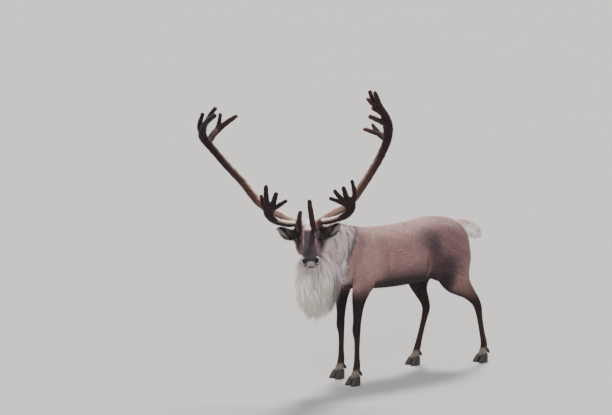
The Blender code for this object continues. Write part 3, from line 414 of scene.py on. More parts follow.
skin = joined("skin", skin_stacks() + head_stacks())
melted(skin, SKIN_VOXEL, SKIN_SMOOTHING)
print("skin", len(skin.data.polygons), "faces")

# %% [markdown]
# The face needs a finer surface than the flank. Points are given a weight for how much they
# belong to the head: the body is smoothed longer and thinned out, and the muzzle and the
# rounds of the eyes are subdivided before the nostrils and lips are pressed into them.

# %% Smoothing, and more points on the face
def head_share(points):
    """1 on the head, 0 on the neck, mane and body."""
    at = in_head(points)
    return ease(-0.090, -0.030, at[:, 0]) * ease(-0.235, -0.200, at[:, 2])


def body_group(obj, levels=8):
    """A vertex group of the body, in a few levels of weight, in place of any other."""
    obj.vertex_groups.clear()
    group = obj.vertex_groups.new(name="body")
    share = np.rint((1.0 - head_share(points_of(obj.data))) * levels).astype(int)
    for level in range(1, levels + 1):
        group.add(np.flatnonzero(share == level).tolist(), level / levels, "REPLACE")


body_group(skin)
applied(skin, "SMOOTH", factor=0.5, iterations=BODY_SMOOTHING, vertex_group="body")


def by_eye_or_muzzle(middles):
    at = in_head(middles)
    by_eye = np.linalg.norm(mirrored(at) - np.array(EYE), axis=1) < 0.050
    return by_eye | ((at[:, 0] > 0.275) & (at[:, 2] > -0.2))


def subdivide_where(obj, chosen):
    """Splits the faces chosen by their middles."""
    edited(obj, bpy.ops.mesh.select_all, action="DESELECT")
    obj.data.polygons.foreach_set("select", chosen(points_of(obj.data, "center", "polygons")))
    bpy.ops.object.mode_set(mode="EDIT")
    bpy.ops.mesh.subdivide(number_cuts=1)
    bpy.ops.object.mode_set(mode="OBJECT")


bpy.context.tool_settings.mesh_select_mode = (False, False, True)
subdivide_where(skin, by_eye_or_muzzle)
print("skin", len(skin.data.polygons), "faces after the face was made finer")

# %% [markdown]
# ### Folds of the face
# Nostrils are comma-shaped hollows that flare outward, the mouth is a soft groove between two
# lips, and in front of each eye a caribou has a small tear pit. Each is a smooth push along the
# surface's own normal, strongest at its middle, as with a sculpting brush.

# %% Pressing in the nostrils, mouth, eye sockets and folds
FOLDS = [  # how far out, centre and half sizes on the head: tear pit, cheekbone
    (-0.003, (0.158, 0.068, -0.060), (0.020, 0.030, 0.008)),
    (0.003, (0.150, 0.074, -0.098), (0.075, 0.020, 0.012)),
]
MUSCLES = [  # the same on the body: groin, thigh, shoulder, elbow, hip
    (-0.010, (0.055, 0.17, 0.80), (0.030, 0.12, 0.15)),
    (0.006, (0.115, 0.17, 0.80), (0.050, 0.12, 0.18)),
    (0.006, (-0.42, 0.16, 0.92), (0.060, 0.12, 0.20)),
    (-0.007, (-0.325, 0.18, 0.90), (0.035, 0.12, 0.18)),
    (0.007, (0.33, 0.14, 1.04), (0.050, 0.09, 0.050)),
]


def nostril_ring(face):
    """How far from the nostril's middle, 1 being its edge, for places on the mirrored head."""
    away = face - np.array(NOSTRIL)
    along = away @ unit(np.array([0.62, -0.10, -0.78]))
    across = away @ unit(np.array([0.70, -0.40, 0.59]))
    return np.sqrt((along / 0.0170) ** 2 + (across / 0.0095) ** 2)


def over_mouth(face):
    """How high these places of the mirrored head are over the line between the lips."""
    bearing = np.arctan2(face[:, 1], face[:, 0] - MOUTH_CORNER)
    return face[:, 2] - (MOUTH_HEIGHT + 0.006 * (bearing / math.radians(92)) ** 2)


def sculpted(obj):
    """The object's points with every fold pressed in."""
    at, out = surface(obj)
    face, flank, on = mirrored(in_head(at)), mirrored(in_layout(at)), head_share(at)
    forward, left = face[:, 0], face[:, 1]
    ring = nostril_ring(face)
    nostril = -0.0160 * (1 - ease(0.25, 1.05, ring)) + 0.0022 * np.exp(-((ring - 1.35) / 0.28) ** 2)
    push = nostril * (on * ease(0.33, 0.345, forward) * ease(0.010, 0.020, left))
    gap, lips = (np.exp(-(over_mouth(face) / height) ** 2) for height in (0.0026, 0.0075))
    push += on * ease(MOUTH_CORNER - 0.012, MOUTH_CORNER + 0.02, forward) * (0.0024 * lips - 0.0085 * gap)
    socket = np.linalg.norm(face - np.array(EYE), axis=1)
    push -= on * 0.004 * (1 - ease(0.020, 0.034, socket)) * ease(0.060, 0.075, left)
    for height, centre, radii in FOLDS:
        push += height * spot(face, centre, radii)
    for height, centre, radii in MUSCLES:
        push += height * spot(flank, centre, radii, 0.1)
    return at + out * push[:, None]


put_points(skin.data, sculpted(skin))
body_group(skin)
count = sum(len(face.vertices) - 2 for face in skin.data.polygons)
share = min(1.0, SKIN_TRIANGLES / count)
applied(skin, "DECIMATE", ratio=share, vertex_group="body", use_collapse_triangulate=True)
applied(skin, "TRIANGULATE")
skin.vertex_groups.clear()
print("skin", count, "triangles thinned to", len(skin.data.polygons))

# %% [markdown]
# ## Markings
# A caribou in late summer has a taupe body with a dark flank and belly, nearly
# black legs, a pale grey neck that turns into a white mane, a slate face with a white lip and
# chin, and a white tail. Light and shade are painted in too: a painted highlight along the top
# of the back, and painted shade under the body, on the sides of the lower neck and at the sides
# of the mane. Skin and coat take their colours from one function of place, so that they always
# agree: it starts with one colour and lays soft-edged spots of others over it.

# %% Colours by place
def srgb(red, green, blue):
    """A colour as seen on a screen, 0 to 255, as the light values a shader works in."""
    share = np.array([red, green, blue]) / 255
    return np.where(share <= 0.04045, share / 12.92, ((share + 0.055) / 1.055) ** 2.4)


TAUPE, PALE_COAT_AND_HIGHLIGHT, FLANK_DARK = srgb(184, 143, 139), srgb(216, 180, 175), srgb(76, 54, 60)
BELLY_DARK_AND_SHADE, PINK, WHITE, BLACK = srgb(44, 32, 34), srgb(206, 166, 158), srgb(255, 252, 247), srgb(10, 8, 9)
LEG, SHANK, ANKLE = srgb(40, 28, 27), srgb(52, 37, 35), srgb(160, 144, 136)
NECK_PALE, NECK_GREY_AND_SHADE, MANE_WHITE = srgb(240, 222, 223), srgb(112, 94, 97), srgb(255, 250, 240)
CHEEK, SLATE, MUZZLE = srgb(146, 110, 106), srgb(58, 43, 52), srgb(40, 28, 35)
EYE_DARK, NOSE_BAND = srgb(24, 18, 20), srgb(168, 160, 156)

FLANK_SPOTS = [  # tone, strength, centre, half sizes, full part of them
    (PALE_COAT_AND_HIGHLIGHT, 0.45, (-0.500, 0.16, 0.92), (0.16, 0.20, 0.20), 0.2),
    (FLANK_DARK, 0.66, (0.070, 0.20, 1.005), (0.19, 0.20, 0.145), 0.1),
    (FLANK_DARK, 0.78, (0.110, 0.20, 0.900), (0.110, 0.20, 0.17), 0.1),
    (FLANK_DARK, 0.42, (0.250, 0.20, 0.880), (0.36, 0.30, 0.36), 0.25),
    (FLANK_DARK, 0.94, (0.205, 0.20, 0.755), (0.24, 0.20, 0.20), 0.15),
]
PINK_SPOTS = [  # thin hair behind the elbow, in the fold of the flank and behind the thigh
    (PINK, 0.45, (-0.525, 0.15, 0.88), (0.045, 0.12, 0.20), 0.1),
    (PINK, 0.45, (0.062, 0.18, 0.74), (0.012, 0.10, 0.085), 0.2),
    (PINK, 0.35, (0.510, 0.10, 0.85), (0.08, 0.12, 0.22), 0.2),
]
NECK_SPOTS = [
    (WHITE, 0.45, (-0.795, 0.15, 1.02), (0.022, 0.10, 0.10), 0.1),
    # painted shade on the side of the lower neck
    (NECK_GREY_AND_SHADE, 0.70, (-0.760, 0.13, 0.77), (0.14, 0.12, 0.12), 0.2),
]
RUMP_SPOTS = [(WHITE, 0.95, (0.565, 0.0, 0.955), (0.06, 0.085, 0.12), 0.4)]
EYE_SPOTS = [
    (EYE_DARK, 0.97, (0.104, 0.084, -0.038), (0.078, 0.050, 0.066), 0.5),
    (EYE_DARK, 0.85, (0.130, 0.088, -0.078), (0.046, 0.040, 0.044), 0.3),
    (EYE_DARK, 0.97, (0.024, 0.095, -0.054), (0.092, 0.060, 0.076), 0.5),
]
FACE_SPOTS = [  # poll, its middle, upper lip
    (NECK_PALE, 0.95, (0.015, 0.0, 0.012), (0.078, 0.050, 0.050), 0.6),
    (WHITE, 0.70, (0.010, 0.0, 0.014), (0.060, 0.036, 0.040), 0.3),
    (WHITE, 0.90, (0.385, 0.0, -0.104), (0.055, 0.060, 0.017), 0.4),
]
NOSE_SPOTS = [
    (NOSE_BAND, 0.90, (0.402, 0.0, -0.080), (0.034, 0.040, 0.027), 0.4),
    (SLATE, 0.5, (0.406, 0.0, -0.088), (0.030, 0.004, 0.018), 0.2),
]


def blend(colour, tone, share):
    """Lays a tone over the colours, as strongly as its share at each."""
    colour += (tone - colour) * np.clip(share, 0, 1)[:, None]


def blend_spots(colour, points, table, on=1.0):
    for tone, strength, *oval in table:
        blend(colour, tone, on * strength * spot(points, *oval))


def throat_height(x):
    return np.interp(x, [-1.05, -0.90, -0.70], [1.06, 0.99, 0.90])


def mane_middle(x):
    return np.interp(x, [-1.077, -0.985, -0.850, -0.720], [-0.168, -0.134, -0.090, -0.048])


def body_colour(colour, points, normals):
    """Lays the markings of trunk, legs, neck and mane over the taupe, with a painted highlight on the top of the back
    and painted shade under the body, on the lower neck and at the mane's sides.
    """
    body = in_layout(points)
    flank, (x, y, z), up = mirrored(body), body.T, normals[:, 2]
    lay, lay_spots = partial(blend, colour), partial(blend_spots, colour, flank)
    low_flank = ease(0.34, 0.24, x)
    # painted highlight along the top of the back, where the surface faces up
    lay(PALE_COAT_AND_HIGHLIGHT, 0.85 * ease(1.00, 1.11, z) * ease(0.10, 0.8, up))
    lay_spots(FLANK_SPOTS)
    lay(FLANK_DARK, 0.80 * ease(0.89, 0.72, z) * ease(-0.44, -0.30, x) * low_flank)
    lay(BELLY_DARK_AND_SHADE, ease(0.76, 0.68, z) * ease(-0.42, -0.34, x) * low_flank)
    # painted shade under the body, where the surface faces down
    lay(BELLY_DARK_AND_SHADE, 0.85 * ease(-0.2, -0.75, up) * ease(0.82, 0.70, z))
    lay_spots(PINK_SPOTS)
    lay(LEG, ease(0.10, 0.0, x) * ease(0.800, 0.600, z) * ease(-0.72, -0.66, x))
    lay(LEG, ease(0.0, 0.10, x) * ease(0.72, 0.46, z))
    lay(SHANK, ease(0.42, 0.30, z))
    # the neck's pale coat ends in a grey line down the shoulder, with a white one before it
    edge = np.interp(z, [0.66, 0.75, 0.95, 1.02, 1.10, 1.14], [-0.62, -0.64, -0.69, -0.66, -0.605, -0.56])
    edge = edge + 0.010 * ripple(points * [1, 1, 0.4], 0.06, 5)
    neck = ease(edge + 0.040, edge - 0.040, x) * ease(0.66, 0.74, z)
    streak = 0.5 + 0.5 * ripple(points * [1, 1, 0.10], 0.034, 8)
    behind = x - edge + 0.012
    lay(NECK_PALE, 0.94 * neck)
    lay(NECK_GREY_AND_SHADE, 0.75 * neck * ease(0.50, 1.0, streak))
    lay(NECK_GREY_AND_SHADE, 0.90 * ease(0.032, 0.008, np.abs(behind)) * ease(0.86, 0.96, z))
    lay(WHITE, 0.70 * ease(0.028, 0.006, np.abs(behind + 0.036)) * ease(0.74, 0.84, z) * ease(1.02, 0.94, z))
    lay_spots(NECK_SPOTS)
    # the mane is white in its middle, with painted shade in grey at its sides
    throat = throat_height(x)
    limit = np.interp(x, [-1.00, -0.94, -0.88, -0.80], [0.20, 0.095, 0.048, 0.025])
    central = ease(limit + 0.025, limit - 0.025, np.abs(y - mane_middle(x)))
    hanging = ease(-0.68, -0.80, x) * ease(throat + 0.07, throat - 0.10, z)
    lay(NECK_GREY_AND_SHADE, 0.65 * hanging * (1 - central) * ease(1.00, 0.86, z))
    lay(MANE_WHITE, hanging * central)
    lay(ANKLE, 0.75 * ease(0.118, 0.092, z))
    lay_spots(RUMP_SPOTS)


def head_colour(colour, points, normals):
    """Lays the markings of the head over the rest."""
    head, on, head_up = in_head(points), head_share(points), normals @ np.array(HEAD_UP)
    face = mirrored(head)
    forward, left, height = face.T
    lay, lay_spots = partial(blend, colour), partial(blend_spots, colour, face, on=on)
    lay(CHEEK, on)
    lay(NECK_PALE, on * 0.85 * ease(0.02, -0.06, forward))
    lay(NECK_PALE, on * 0.85 * ease(-0.125, -0.165, height))
    brow = ease(0.072, 0.098, forward)
    lay(SLATE, on * 0.80 * ease(-0.2, 0.55, head_up) * brow)
    lay(SLATE, on * 0.95 * ease(0.046, 0.034, left) * ease(-0.10, -0.05, height) * brow)
    lay_spots(EYE_SPOTS)
    lay(MUZZLE, on * 0.97 * ease(0.262, 0.296, forward) * ease(-0.3, 0.25, head_up))
    stripe = ease(0.0085, 0.002, np.abs(left - 0.043)) * ease(0.075, 0.10, forward) * ease(0.235, 0.19, forward)
    lay(NECK_PALE, on * 0.13 * stripe * ease(0.2, 0.6, head_up))
    lay_spots(FACE_SPOTS)
    lay(WHITE, on * 0.95 * ease(-0.110, -0.122, height) * ease(0.255, 0.320, forward))
    lay_spots(NOSE_SPOTS)
    ring, nose = nostril_ring(face), on * ease(0.33, 0.35, forward)
    lay(WHITE, nose * 0.80 * np.exp(-((ring - 1.32) / 0.22) ** 2) * ease(0.040, 0.048, left))
    lay(BLACK, nose * ease(1.25, 1.0, ring) * ease(0.010, 0.020, left))
    front = ease(0.034, 0.014, left) * ease(0.36, 0.38, forward)
    slit = np.exp(-((over_mouth(face) - 0.003 * front) / (0.0030 + 0.0085 * front)) ** 2)
    lay(BLACK, on * 0.97 * slit * ease(MOUTH_CORNER, MOUTH_CORNER + 0.02, forward))


def coat_colour(points, normals):
    """The coat's colour at each point of the body, neck, legs and head."""
    colour = np.tile(TAUPE, (len(points), 1))
    body_colour(colour, points, normals)
    head_colour(colour, points, normals)
    shade = 1 + 0.055 * ripple(points, 0.11, 21) + 0.035 * ripple(points * [0.5, 1, 1], 0.022, 22)
    return colour * shade[:, None]


def store_colour(mesh, colours):
    """Keeps a colour for each point of the mesh, for its material to read."""
    layer = mesh.attributes.new("coat", "FLOAT_COLOR", "POINT")
    values = np.ones((len(colours), 4), np.float32)
    values[:, :3] = colours
    layer.data.foreach_set("color", values.ravel())


skin.data.shade_smooth()
store_colour(skin.data, coat_colour(*surface(skin)))
print("markings on", len(skin.data.vertices), "points")

# %% [markdown]
# ### An unwrap of the skin
# Every tuft will need a place on a flat map that agrees with the skin under it. Smart UV Project
# cuts the skin into patches that face one way and lays them side by side.

# %% Unwrapping
def unwrap(obj):
    obj.data.uv_layers.new(name="OFBake")
    edited(obj, bpy.ops.uv.smart_project, angle_limit=math.radians(66), island_margin=0.004)


unwrap(skin)
print("skin unwrapped")

# %% [markdown]
# ## Finishes
# A material is a graph of nodes. To write its maths as plain Python, one small class wraps an
# output and gives it `+` and `*`, and its `node` method makes any other node. The finishes of
# hair, skin, velvet and eye read the colours stored on their piece, and the horn takes its
# colours from its own rings and scuffs. Each adds what the real surface has at a finer scale:
# the grain of hair, the pile of velvet, the growth rings of horn.

# %% Shader arithmetic
class Wire:
    """An output of a node, which can be added, multiplied and fed to other nodes."""

    def __init__(self, tree, socket):
        self.tree, self.socket = tree, socket

    def node(self, kind, inputs, output=0, stops=None, **settings):
        made = self.tree.nodes.new(kind)
        for name, value in settings.items():
            setattr(made, name, value)
        if stops:
            ramp = made.color_ramp
            while len(ramp.elements) < len(stops):
                ramp.elements.new(0.5)
            for element, (place, colour) in zip(ramp.elements, stops):
                element.position, element.color = place, (*colour, 1.0)
        for key, value in inputs.items():
            if isinstance(value, Wire):
                self.tree.links.new(value.socket, made.inputs[key])
            else:
                made.inputs[key].default_value = value
        return Wire(self.tree, made.outputs[output])

    def __add__(self, other):
        return self.node("ShaderNodeMath", {0: self, 1: other}, operation="ADD")

    def __mul__(self, other):
        return self.node("ShaderNodeMath", {0: self, 1: other}, operation="MULTIPLY")

    def coat(self):
        """The colour stored on the piece, made darker and lighter by this value."""
        stored = self.node("ShaderNodeAttribute", {}, attribute_name="coat")
        return self.node("ShaderNodeVectorMath", {0: stored, 1: self}, operation="MULTIPLY")

    def noise(self, scale, detail=2.0):
        return self.node("ShaderNodeTexNoise", {"Vector": self, "Scale": scale, "Detail": detail})

    def bump(self, strength, distance):
        return self.node("ShaderNodeBump", {"Height": self, "Strength": strength, "Distance": distance})


def finish(name, roughness, build, **constants):
    """A material whose build function returns what varies over the surface."""
    made = bpy.data.materials.new(name)
    made.use_nodes = True
    tree = made.node_tree
    shader = tree.nodes["Principled BSDF"]
    shader.inputs["Roughness"].default_value = roughness
    for key, value in constants.items():
        shader.inputs[key.replace("_", " ")].default_value = value
    start = Wire(tree, tree.nodes.new("ShaderNodeTexCoord").outputs["Object"])
    for key, wire in build(start).items():
        tree.links.new(wire.socket, shader.inputs[key])
    return made

# %% Hair, skin, velvet, horn and eye
HORN_TONES = [(0.15, srgb(26, 23, 22)), (0.62, srgb(52, 46, 43)), (0.95, srgb(92, 82, 74))]


def hair_build(at):
    grain = at.noise(190.0, 3.0)
    return {"Base Color": (grain * 0.5 + 0.76).coat(), "Roughness": grain * 0.25 + 0.62}


def skin_build(at):
    grain = at.noise(260.0, 4.0)
    return {"Base Color": (grain * 0.55 + 0.62).coat(), "Roughness": grain * 0.2 + 0.66,
            "Normal": grain.bump(0.55, 0.003)}


def velvet_build(at):
    pile, vein = at.noise(420.0, 3.0), at.noise(34.0, 3.0)
    return {"Base Color": (pile * 0.5 + vein * 0.5 + 0.5).coat(), "Roughness": pile * 0.2 + 0.65,
            "Normal": (pile * 0.6 + vein).bump(0.6, 0.004)}


def horn_build(at):
    rings = at.node("ShaderNodeTexWave", {"Vector": at, "Scale": 42.0, "Distortion": 2.5, "Detail": 2.0},
                    output=1, wave_type="BANDS", bands_direction="Z")
    scuff = at.noise(60.0, 5.0)
    return {"Base Color": at.node("ShaderNodeValToRGB", {0: rings * 0.12 + scuff * 0.80}, stops=HORN_TONES),
            "Roughness": scuff * 0.35 + 0.35, "Normal": (rings * 0.4 + scuff * 0.5).bump(0.4, 0.0015)}


def eye_build(at):
    return {"Base Color": (at.noise(900.0) * 0.5 + 0.75).coat()}


HAIR = finish("hair", 0.75, hair_build, Sheen_Weight=0.06, Sheen_Roughness=0.5, Specular_IOR_Level=0.15)
HIDE = finish("hide", 0.75, skin_build, Sheen_Weight=0.05, Specular_IOR_Level=0.15)
VELVET = finish("velvet", 0.8, velvet_build, Sheen_Weight=0.20, Sheen_Roughness=0.35, Specular_IOR_Level=0.15)
HORN = finish("hoof_horn", 0.5, horn_build, Specular_IOR_Level=0.4)
EYE_GLOSS = finish("eye_gloss", 0.10, eye_build, Specular_IOR_Level=0.30)
print("finishes", [m.name for m in (HAIR, HIDE, VELVET, HORN, EYE_GLOSS)])


def dressed(obj, material, slot, *nodes, body="root"):
    """Gives a finished piece its material and its body, and hides the nodes it stands for; its slot is not used."""
    obj.data.materials.clear()
    obj.data.materials.append(material)
    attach(obj, body)
    if nodes:
        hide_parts(*nodes)


LEG_NODES = [f"leg_{leg}_{half}" for leg in LEGS for half in ("upper", "lower")]
dressed(skin, HIDE, "body_coat", "torso_rump", "torso_barrel", "torso_chest", "neck", "head", *LEG_NODES)

# %% [markdown]
# ## Tufts
# Each tuft is a tiny closed lock: rings of three points, left, ridge and right, that taper to a
# tip, rooted just under the skin. It leaves the skin at a slant and bends down to lie along it.
# All tufts of a piece are worked out at once as arrays and written into one mesh. Each also gets
# a patch 0.003 across on the skin's flat map, at the place of its root.

# %% From roots to one mesh
PATCH = 0.003
BURIED = 0.001


def corners_of(mesh, field):
    """What is at the corners of the mesh's triangles: their vertices or their loops."""
    corners = np.empty(len(mesh.loop_triangles) * 3, np.int32)
    mesh.loop_triangles.foreach_get(field, corners)
    return corners.reshape(-1, 3)


class Ground:
    """A surface that tufts can be rooted in."""

    def __init__(self, obj):
        mesh = obj.data
        mesh.calc_loop_triangles()
        self.points, self.normals = surface(obj)
        self.faces = corners_of(mesh, "vertices")
        flat = np.empty(len(mesh.loops) * 2, np.float32)
        mesh.uv_layers["OFBake"].data.foreach_get("uv", flat)
        self.flat = flat.reshape(-1, 2)[corners_of(mesh, "loops")].astype(float)
        a, b, c = (self.points[self.faces[:, k]] for k in range(3))
        self.areas = np.linalg.norm(np.cross(b - a, c - a), axis=1) / 2
        self.middles = (a + b + c) / 3
        self.tree = BVHTree.FromPolygons(self.points.tolist(), self.faces.tolist())

    def settled(self, points, heights, clings):
        """The points moved to stand this high over the surface, or only pushed out to it."""
        for i, place in enumerate(points):
            under, out, _, _ = self.tree.find_nearest(place)
            over = (Vector(place) - under).dot(out)
            if clings[i]:
                points[i] = under + out * heights[i]
            elif over < heights[i]:
                points[i] = Vector(place) + out * (heights[i] - over)

    def rooted(self, count, weights, seed):
        """So many roots, scattered over the faces by area and weight: places, normals, map places."""
        dice = np.random.default_rng(seed)
        chance = self.areas * weights
        steps = (np.arange(count) + dice.random(count)) / count
        picked = np.searchsorted(np.cumsum(chance) / chance.sum(), steps)
        picked = np.minimum(picked, len(self.faces) - 1)
        one, two = dice.random((2, count))
        flip = one + two > 1
        one[flip], two[flip] = 1 - one[flip], 1 - two[flip]
        shares = np.stack([1 - one - two, one, two], axis=1)[:, :, None]
        corners = self.faces[picked]
        places, normals = ((rows[corners] * shares).sum(axis=1) for rows in (self.points, self.normals))
        return places, unit(normals), (self.flat[picked] * shares).sum(axis=1)


def tuft_faces(rings):
    """The triangles of one tuft with so many rings of three points and a tip."""
    faces = [(0, 2, 1)]
    for ring in range(rings - 1):
        for k in range(3):
            a, b = 3 * ring + k, 3 * ring + (k + 1) % 3
            faces += [(a, b, b + 3), (a, b + 3, a + 3)]
    last = 3 * (rings - 1)
    faces += [(last + k, last + (k + 1) % 3, last + 3) for k in range(3)]
    return np.array(faces)


def tufted(name, bed, rooted, lie, form, tones, rings, curl, clings, seed):
    """One mesh of tufts combed onto their bed.

    form is each tuft's length, width, lift and sag, and tones are the colours at roots and tips."""
    (roots, normals, flat), (length, width, lift, sag) = rooted, form
    count, spots = len(roots), 3 * rings + 1
    clings = np.broadcast_to(clings, count)
    across = unit(np.cross(normals, lie))
    sideways = across * (curl * np.random.default_rng(seed + 1000).normal(size=count) * length)[:, None]
    points, colours = np.empty((2, count, spots, 3))
    offsets = np.empty((spots, 2))
    for ring in range(rings + 1):
        share = ring / rings
        rise = length * lift * share * (2 - share)
        line = roots + lie * (length * share)[:, None] + normals * (rise - 0.08 * width - BURIED)[:, None]
        line = line + sideways * share ** 2 - np.array([0.0, 0.0, 1.0]) * (sag * share ** 2)[:, None]
        if ring:
            bed.settled(line, np.where(clings, rise, 0.004 * share) + 0.0015, clings)
        tone = tones[0] + (tones[1] - tones[0]) * share
        if ring == rings:
            points[:, -1], colours[:, -1], offsets[-1] = line, tone, (0.0, PATCH / 2)
            break
        half = (width * 0.5 * (1 - 0.55 * share ** 1.5))[:, None]
        for k, place in enumerate((across * half, normals * half * 0.5, -across * half)):
            points[:, 3 * ring + k], colours[:, 3 * ring + k] = line + place, tone
            offsets[3 * ring + k] = ((k - 1) * PATCH / 2 * (1 - 0.6 * share), PATCH * (share - 0.5))
    faces = (tuft_faces(rings)[None] + (np.arange(count) * spots)[:, None, None]).reshape(-1, 3)
    mesh = bpy.data.meshes.new(name)
    mesh.vertices.add(count * spots)
    mesh.vertices.foreach_set("co", points.astype(np.float32).ravel())
    mesh.loops.add(faces.size)
    mesh.loops.foreach_set("vertex_index", faces.astype(np.int32).ravel())
    mesh.polygons.add(len(faces))
    mesh.polygons.foreach_set("loop_start", np.arange(0, faces.size, 3, dtype=np.int32))
    mesh.update(calc_edges=True)
    mesh.shade_smooth()
    layer = mesh.uv_layers.new(name="OFBake")
    spread = (flat[:, None, :] + offsets[None]).reshape(-1, 2)[faces.ravel()]
    layer.data.foreach_set("uv", spread.astype(np.float32).ravel())
    store_colour(mesh, colours.reshape(-1, 3))
    obj = bpy.data.objects.new(name, mesh)
    bpy.context.scene.collection.objects.link(obj)
    print(name, count, "tufts", len(faces), "triangles")
    return obj

# %% [markdown]
# ### Which way hair lies, and how long it is
# Hair lies from the nose back over the face, down and back along the neck, back along the trunk
# and down the legs. It is a few millimetres long on the muzzle, two and a half centimetres on the
# back and twice that on the neck, and the feet have a fringe over the hooves.

# %% Lie and length by place
def from_eye(points):
    """For each point, the direction away from the nearer eye, and the distance to it."""
    head = in_head(points)
    eye = np.array(EYE) * np.stack([np.ones(len(head)), np.sign(head[:, 1]), np.ones(len(head))], axis=1)
    gap = np.linalg.norm(head - eye, axis=1)
    return unit(head - eye) @ np.array(HEAD_TURN).T, gap


def hair_lie(points, normals, looseness, seed):
    """Which way the hair lies at these places, with whorls and loose hairs."""
    (x, _, z), head = in_layout(points).T, head_share(points)
    rest = 1 - head
    leg = rest * ease(0.70, 0.60, z) * ease(-0.72, -0.66, x)
    neck = rest * (1 - leg) * ease(-0.50, -0.66, x)
    rump = rest * (1 - leg) * (1 - neck) * ease(0.38, 0.53, x)
    trunk = rest * (1 - leg) * (1 - neck) * (1 - rump)
    flow = np.zeros((len(points), 3))
    for direction, share in (
        (-HEAD_FORWARD + 0.12 * HEAD_UP, head), ((0.10, 0.0, -1.0), leg), ((0.42, 0.05, -0.88), neck),
        ((0.25, 0.0, -0.95), rump), ((0.93, 0.0, -0.36), trunk),
    ):
        flow += np.array(direction) * share[:, None]
    wander = np.stack([ripple(points, 0.035, seed + k) for k in range(3)], axis=1)
    loose = np.random.default_rng(seed).normal(size=flow.shape)
    flow = unit(flow) + wander * looseness + loose * looseness * 0.5
    away, gap = from_eye(points)
    return laid_flat(flow + away * (2.5 * head * ease(0.060, 0.026, gap))[:, None], normals)


LONG_SPOTS = {  # where the hair of the head is long and loose: centre, half sizes, full part
    "temple": ((0.020, 0.090, -0.060), (0.085, 0.050, 0.065), 0.4),
    "jaw": ((0.060, 0.060, -0.140), (0.150, 0.075, 0.075), 0.5),
    "poll": ((0.010, 0.0, 0.010), (0.060, 0.045, 0.050), 0.4),
}


def long_share(points, **amounts):
    """The sum of these amounts, each in its own part of the head."""
    face = mirrored(in_head(points))
    return sum(amount * spot(face, *LONG_SPOTS[part]) for part, amount in amounts.items())


def leg_share(points):
    x, _, z = in_layout(points).T
    return ease(0.70, 0.50, z) * ease(-0.72, -0.66, x)


def hair_length(points):
    x, _, z = in_layout(points).T
    length = 0.024 + 0.026 * ease(-0.50, -0.66, x) * ease(0.70, 0.80, z)
    length += 0.010 * ease(0.74, 0.68, z) * ease(-0.40, -0.30, x) * ease(0.25, 0.15, x)
    length += (0.010 - length) * leg_share(points)
    length += 0.020 * ease(0.105, 0.075, z)
    face = 0.016 - 0.010 * ease(0.03, 0.26, in_head(points)[:, 0])
    face += long_share(points, temple=0.026, jaw=0.024, poll=0.022)
    face *= 0.30 + 0.70 * ease(0.024, 0.050, from_eye(points)[1])
    return length + (face - length) * head_share(points)


def hair_lift(points):
    """How steeply hair rises, as a share of its length."""
    x, _, z = in_layout(points).T
    on = head_share(points)
    loose = on * long_share(points, temple=0.48, jaw=0.34, poll=0.45) * ease(0.030, 0.055, from_eye(points)[1])
    neck = ease(-0.58, -0.70, x) * (1 - on)
    return 0.10 + loose + 0.06 * neck - 0.04 * leg_share(points) + 0.22 * ease(0.105, 0.080, z)


def bare(points):
    """1 where no tuft grows: the eyes, nostrils, lips and the undersides of the feet."""
    face = mirrored(in_head(points))
    forward = face[:, 0]
    eye = np.linalg.norm(face - np.array(EYE), axis=1) < 0.0205
    nostril = (nostril_ring(face) < 1.1) & (forward > 0.33)
    slit = (np.abs(over_mouth(face)) < 0.0035) & (forward > MOUTH_CORNER)
    foot = in_layout(points)[:, 2] < HOOF_TOP + 0.002
    return np.clip(eye + nostril.astype(float) + slit * head_share(points) + foot, 0, 1)


def varied(dice, tone, spread):
    """The tones of so many tufts, each a little darker or lighter."""
    return tone * dice.normal(1.0, spread, len(tone))[:, None]


ground = Ground(skin)
x, _, z = in_layout(ground.middles).T
throat = throat_height(x)
HEAD_PART = head_share(ground.middles)
MANE_PART = (1 - HEAD_PART) * ease(-0.71, -0.77, x) * ease(throat + 0.02, throat - 0.05, z)
LEG_PART = ease(0.66, 0.60, z) * (x > -0.69)
NECK_PART = (1 - HEAD_PART) * (1 - MANE_PART) * ease(-0.58, -0.64, x) * (1 - LEG_PART)
TRUNK_PART = (1 - HEAD_PART) * (1 - MANE_PART) * (1 - NECK_PART) * (1 - LEG_PART)
GROWS = 1 - bare(ground.middles)
AREAS = {  # the part of the skin, the number of tufts, rings in a tuft, slot
    "coat_rump": (TRUNK_PART * (x > 0.16), 40000, 1, "body_coat"),
    "coat_barrel": (TRUNK_PART * (x <= 0.16) * (x > -0.24), 38000, 1, "body_coat"),
    "coat_chest": (TRUNK_PART * (x <= -0.24), 36000, 1, "body_coat"),
    "coat_neck": (NECK_PART, 19500, 2, "neck_coat"),
    "coat_head": (HEAD_PART / (0.4 + 60 * hair_length(ground.middles)), 40000, 1, "face_coat"),
    "coat_forelegs": (LEG_PART * (x < 0), 20000, 1, "leg_coat"),
    "coat_hindlegs": (LEG_PART * (x >= 0), 24000, 1, "leg_coat"),
}

# %% The short coat, area by area
def grow(name, weights, count, rings, slot, seed):
    rooted = roots, normals, _ = ground.rooted(count, weights * GROWS, seed)
    dice = np.random.default_rng(seed + 50)
    length = hair_length(roots) * dice.uniform(0.75, 1.25, count)
    width = np.clip(length * 0.15, 0.0016, 0.0042) * dice.uniform(0.7, 1.3, count)
    lift = hair_lift(roots) * dice.uniform(0.5, 1.6, count)
    tone = varied(dice, coat_colour(roots, normals), 0.06)
    lie = hair_lie(roots, normals, 0.14, seed)
    clings = in_layout(roots)[:, 2] > 0.100  # the fringe of the feet hangs over the hooves
    form = length, width, lift, length * 0.05
    coat = tufted(name, ground, rooted, lie, form, (tone * 0.89, tone * 1.06), rings, 0.04, clings, seed)
    dressed(coat, HAIR, slot)


for seed, (name, area) in enumerate(AREAS.items(), 100):
    grow(name, *area, seed)

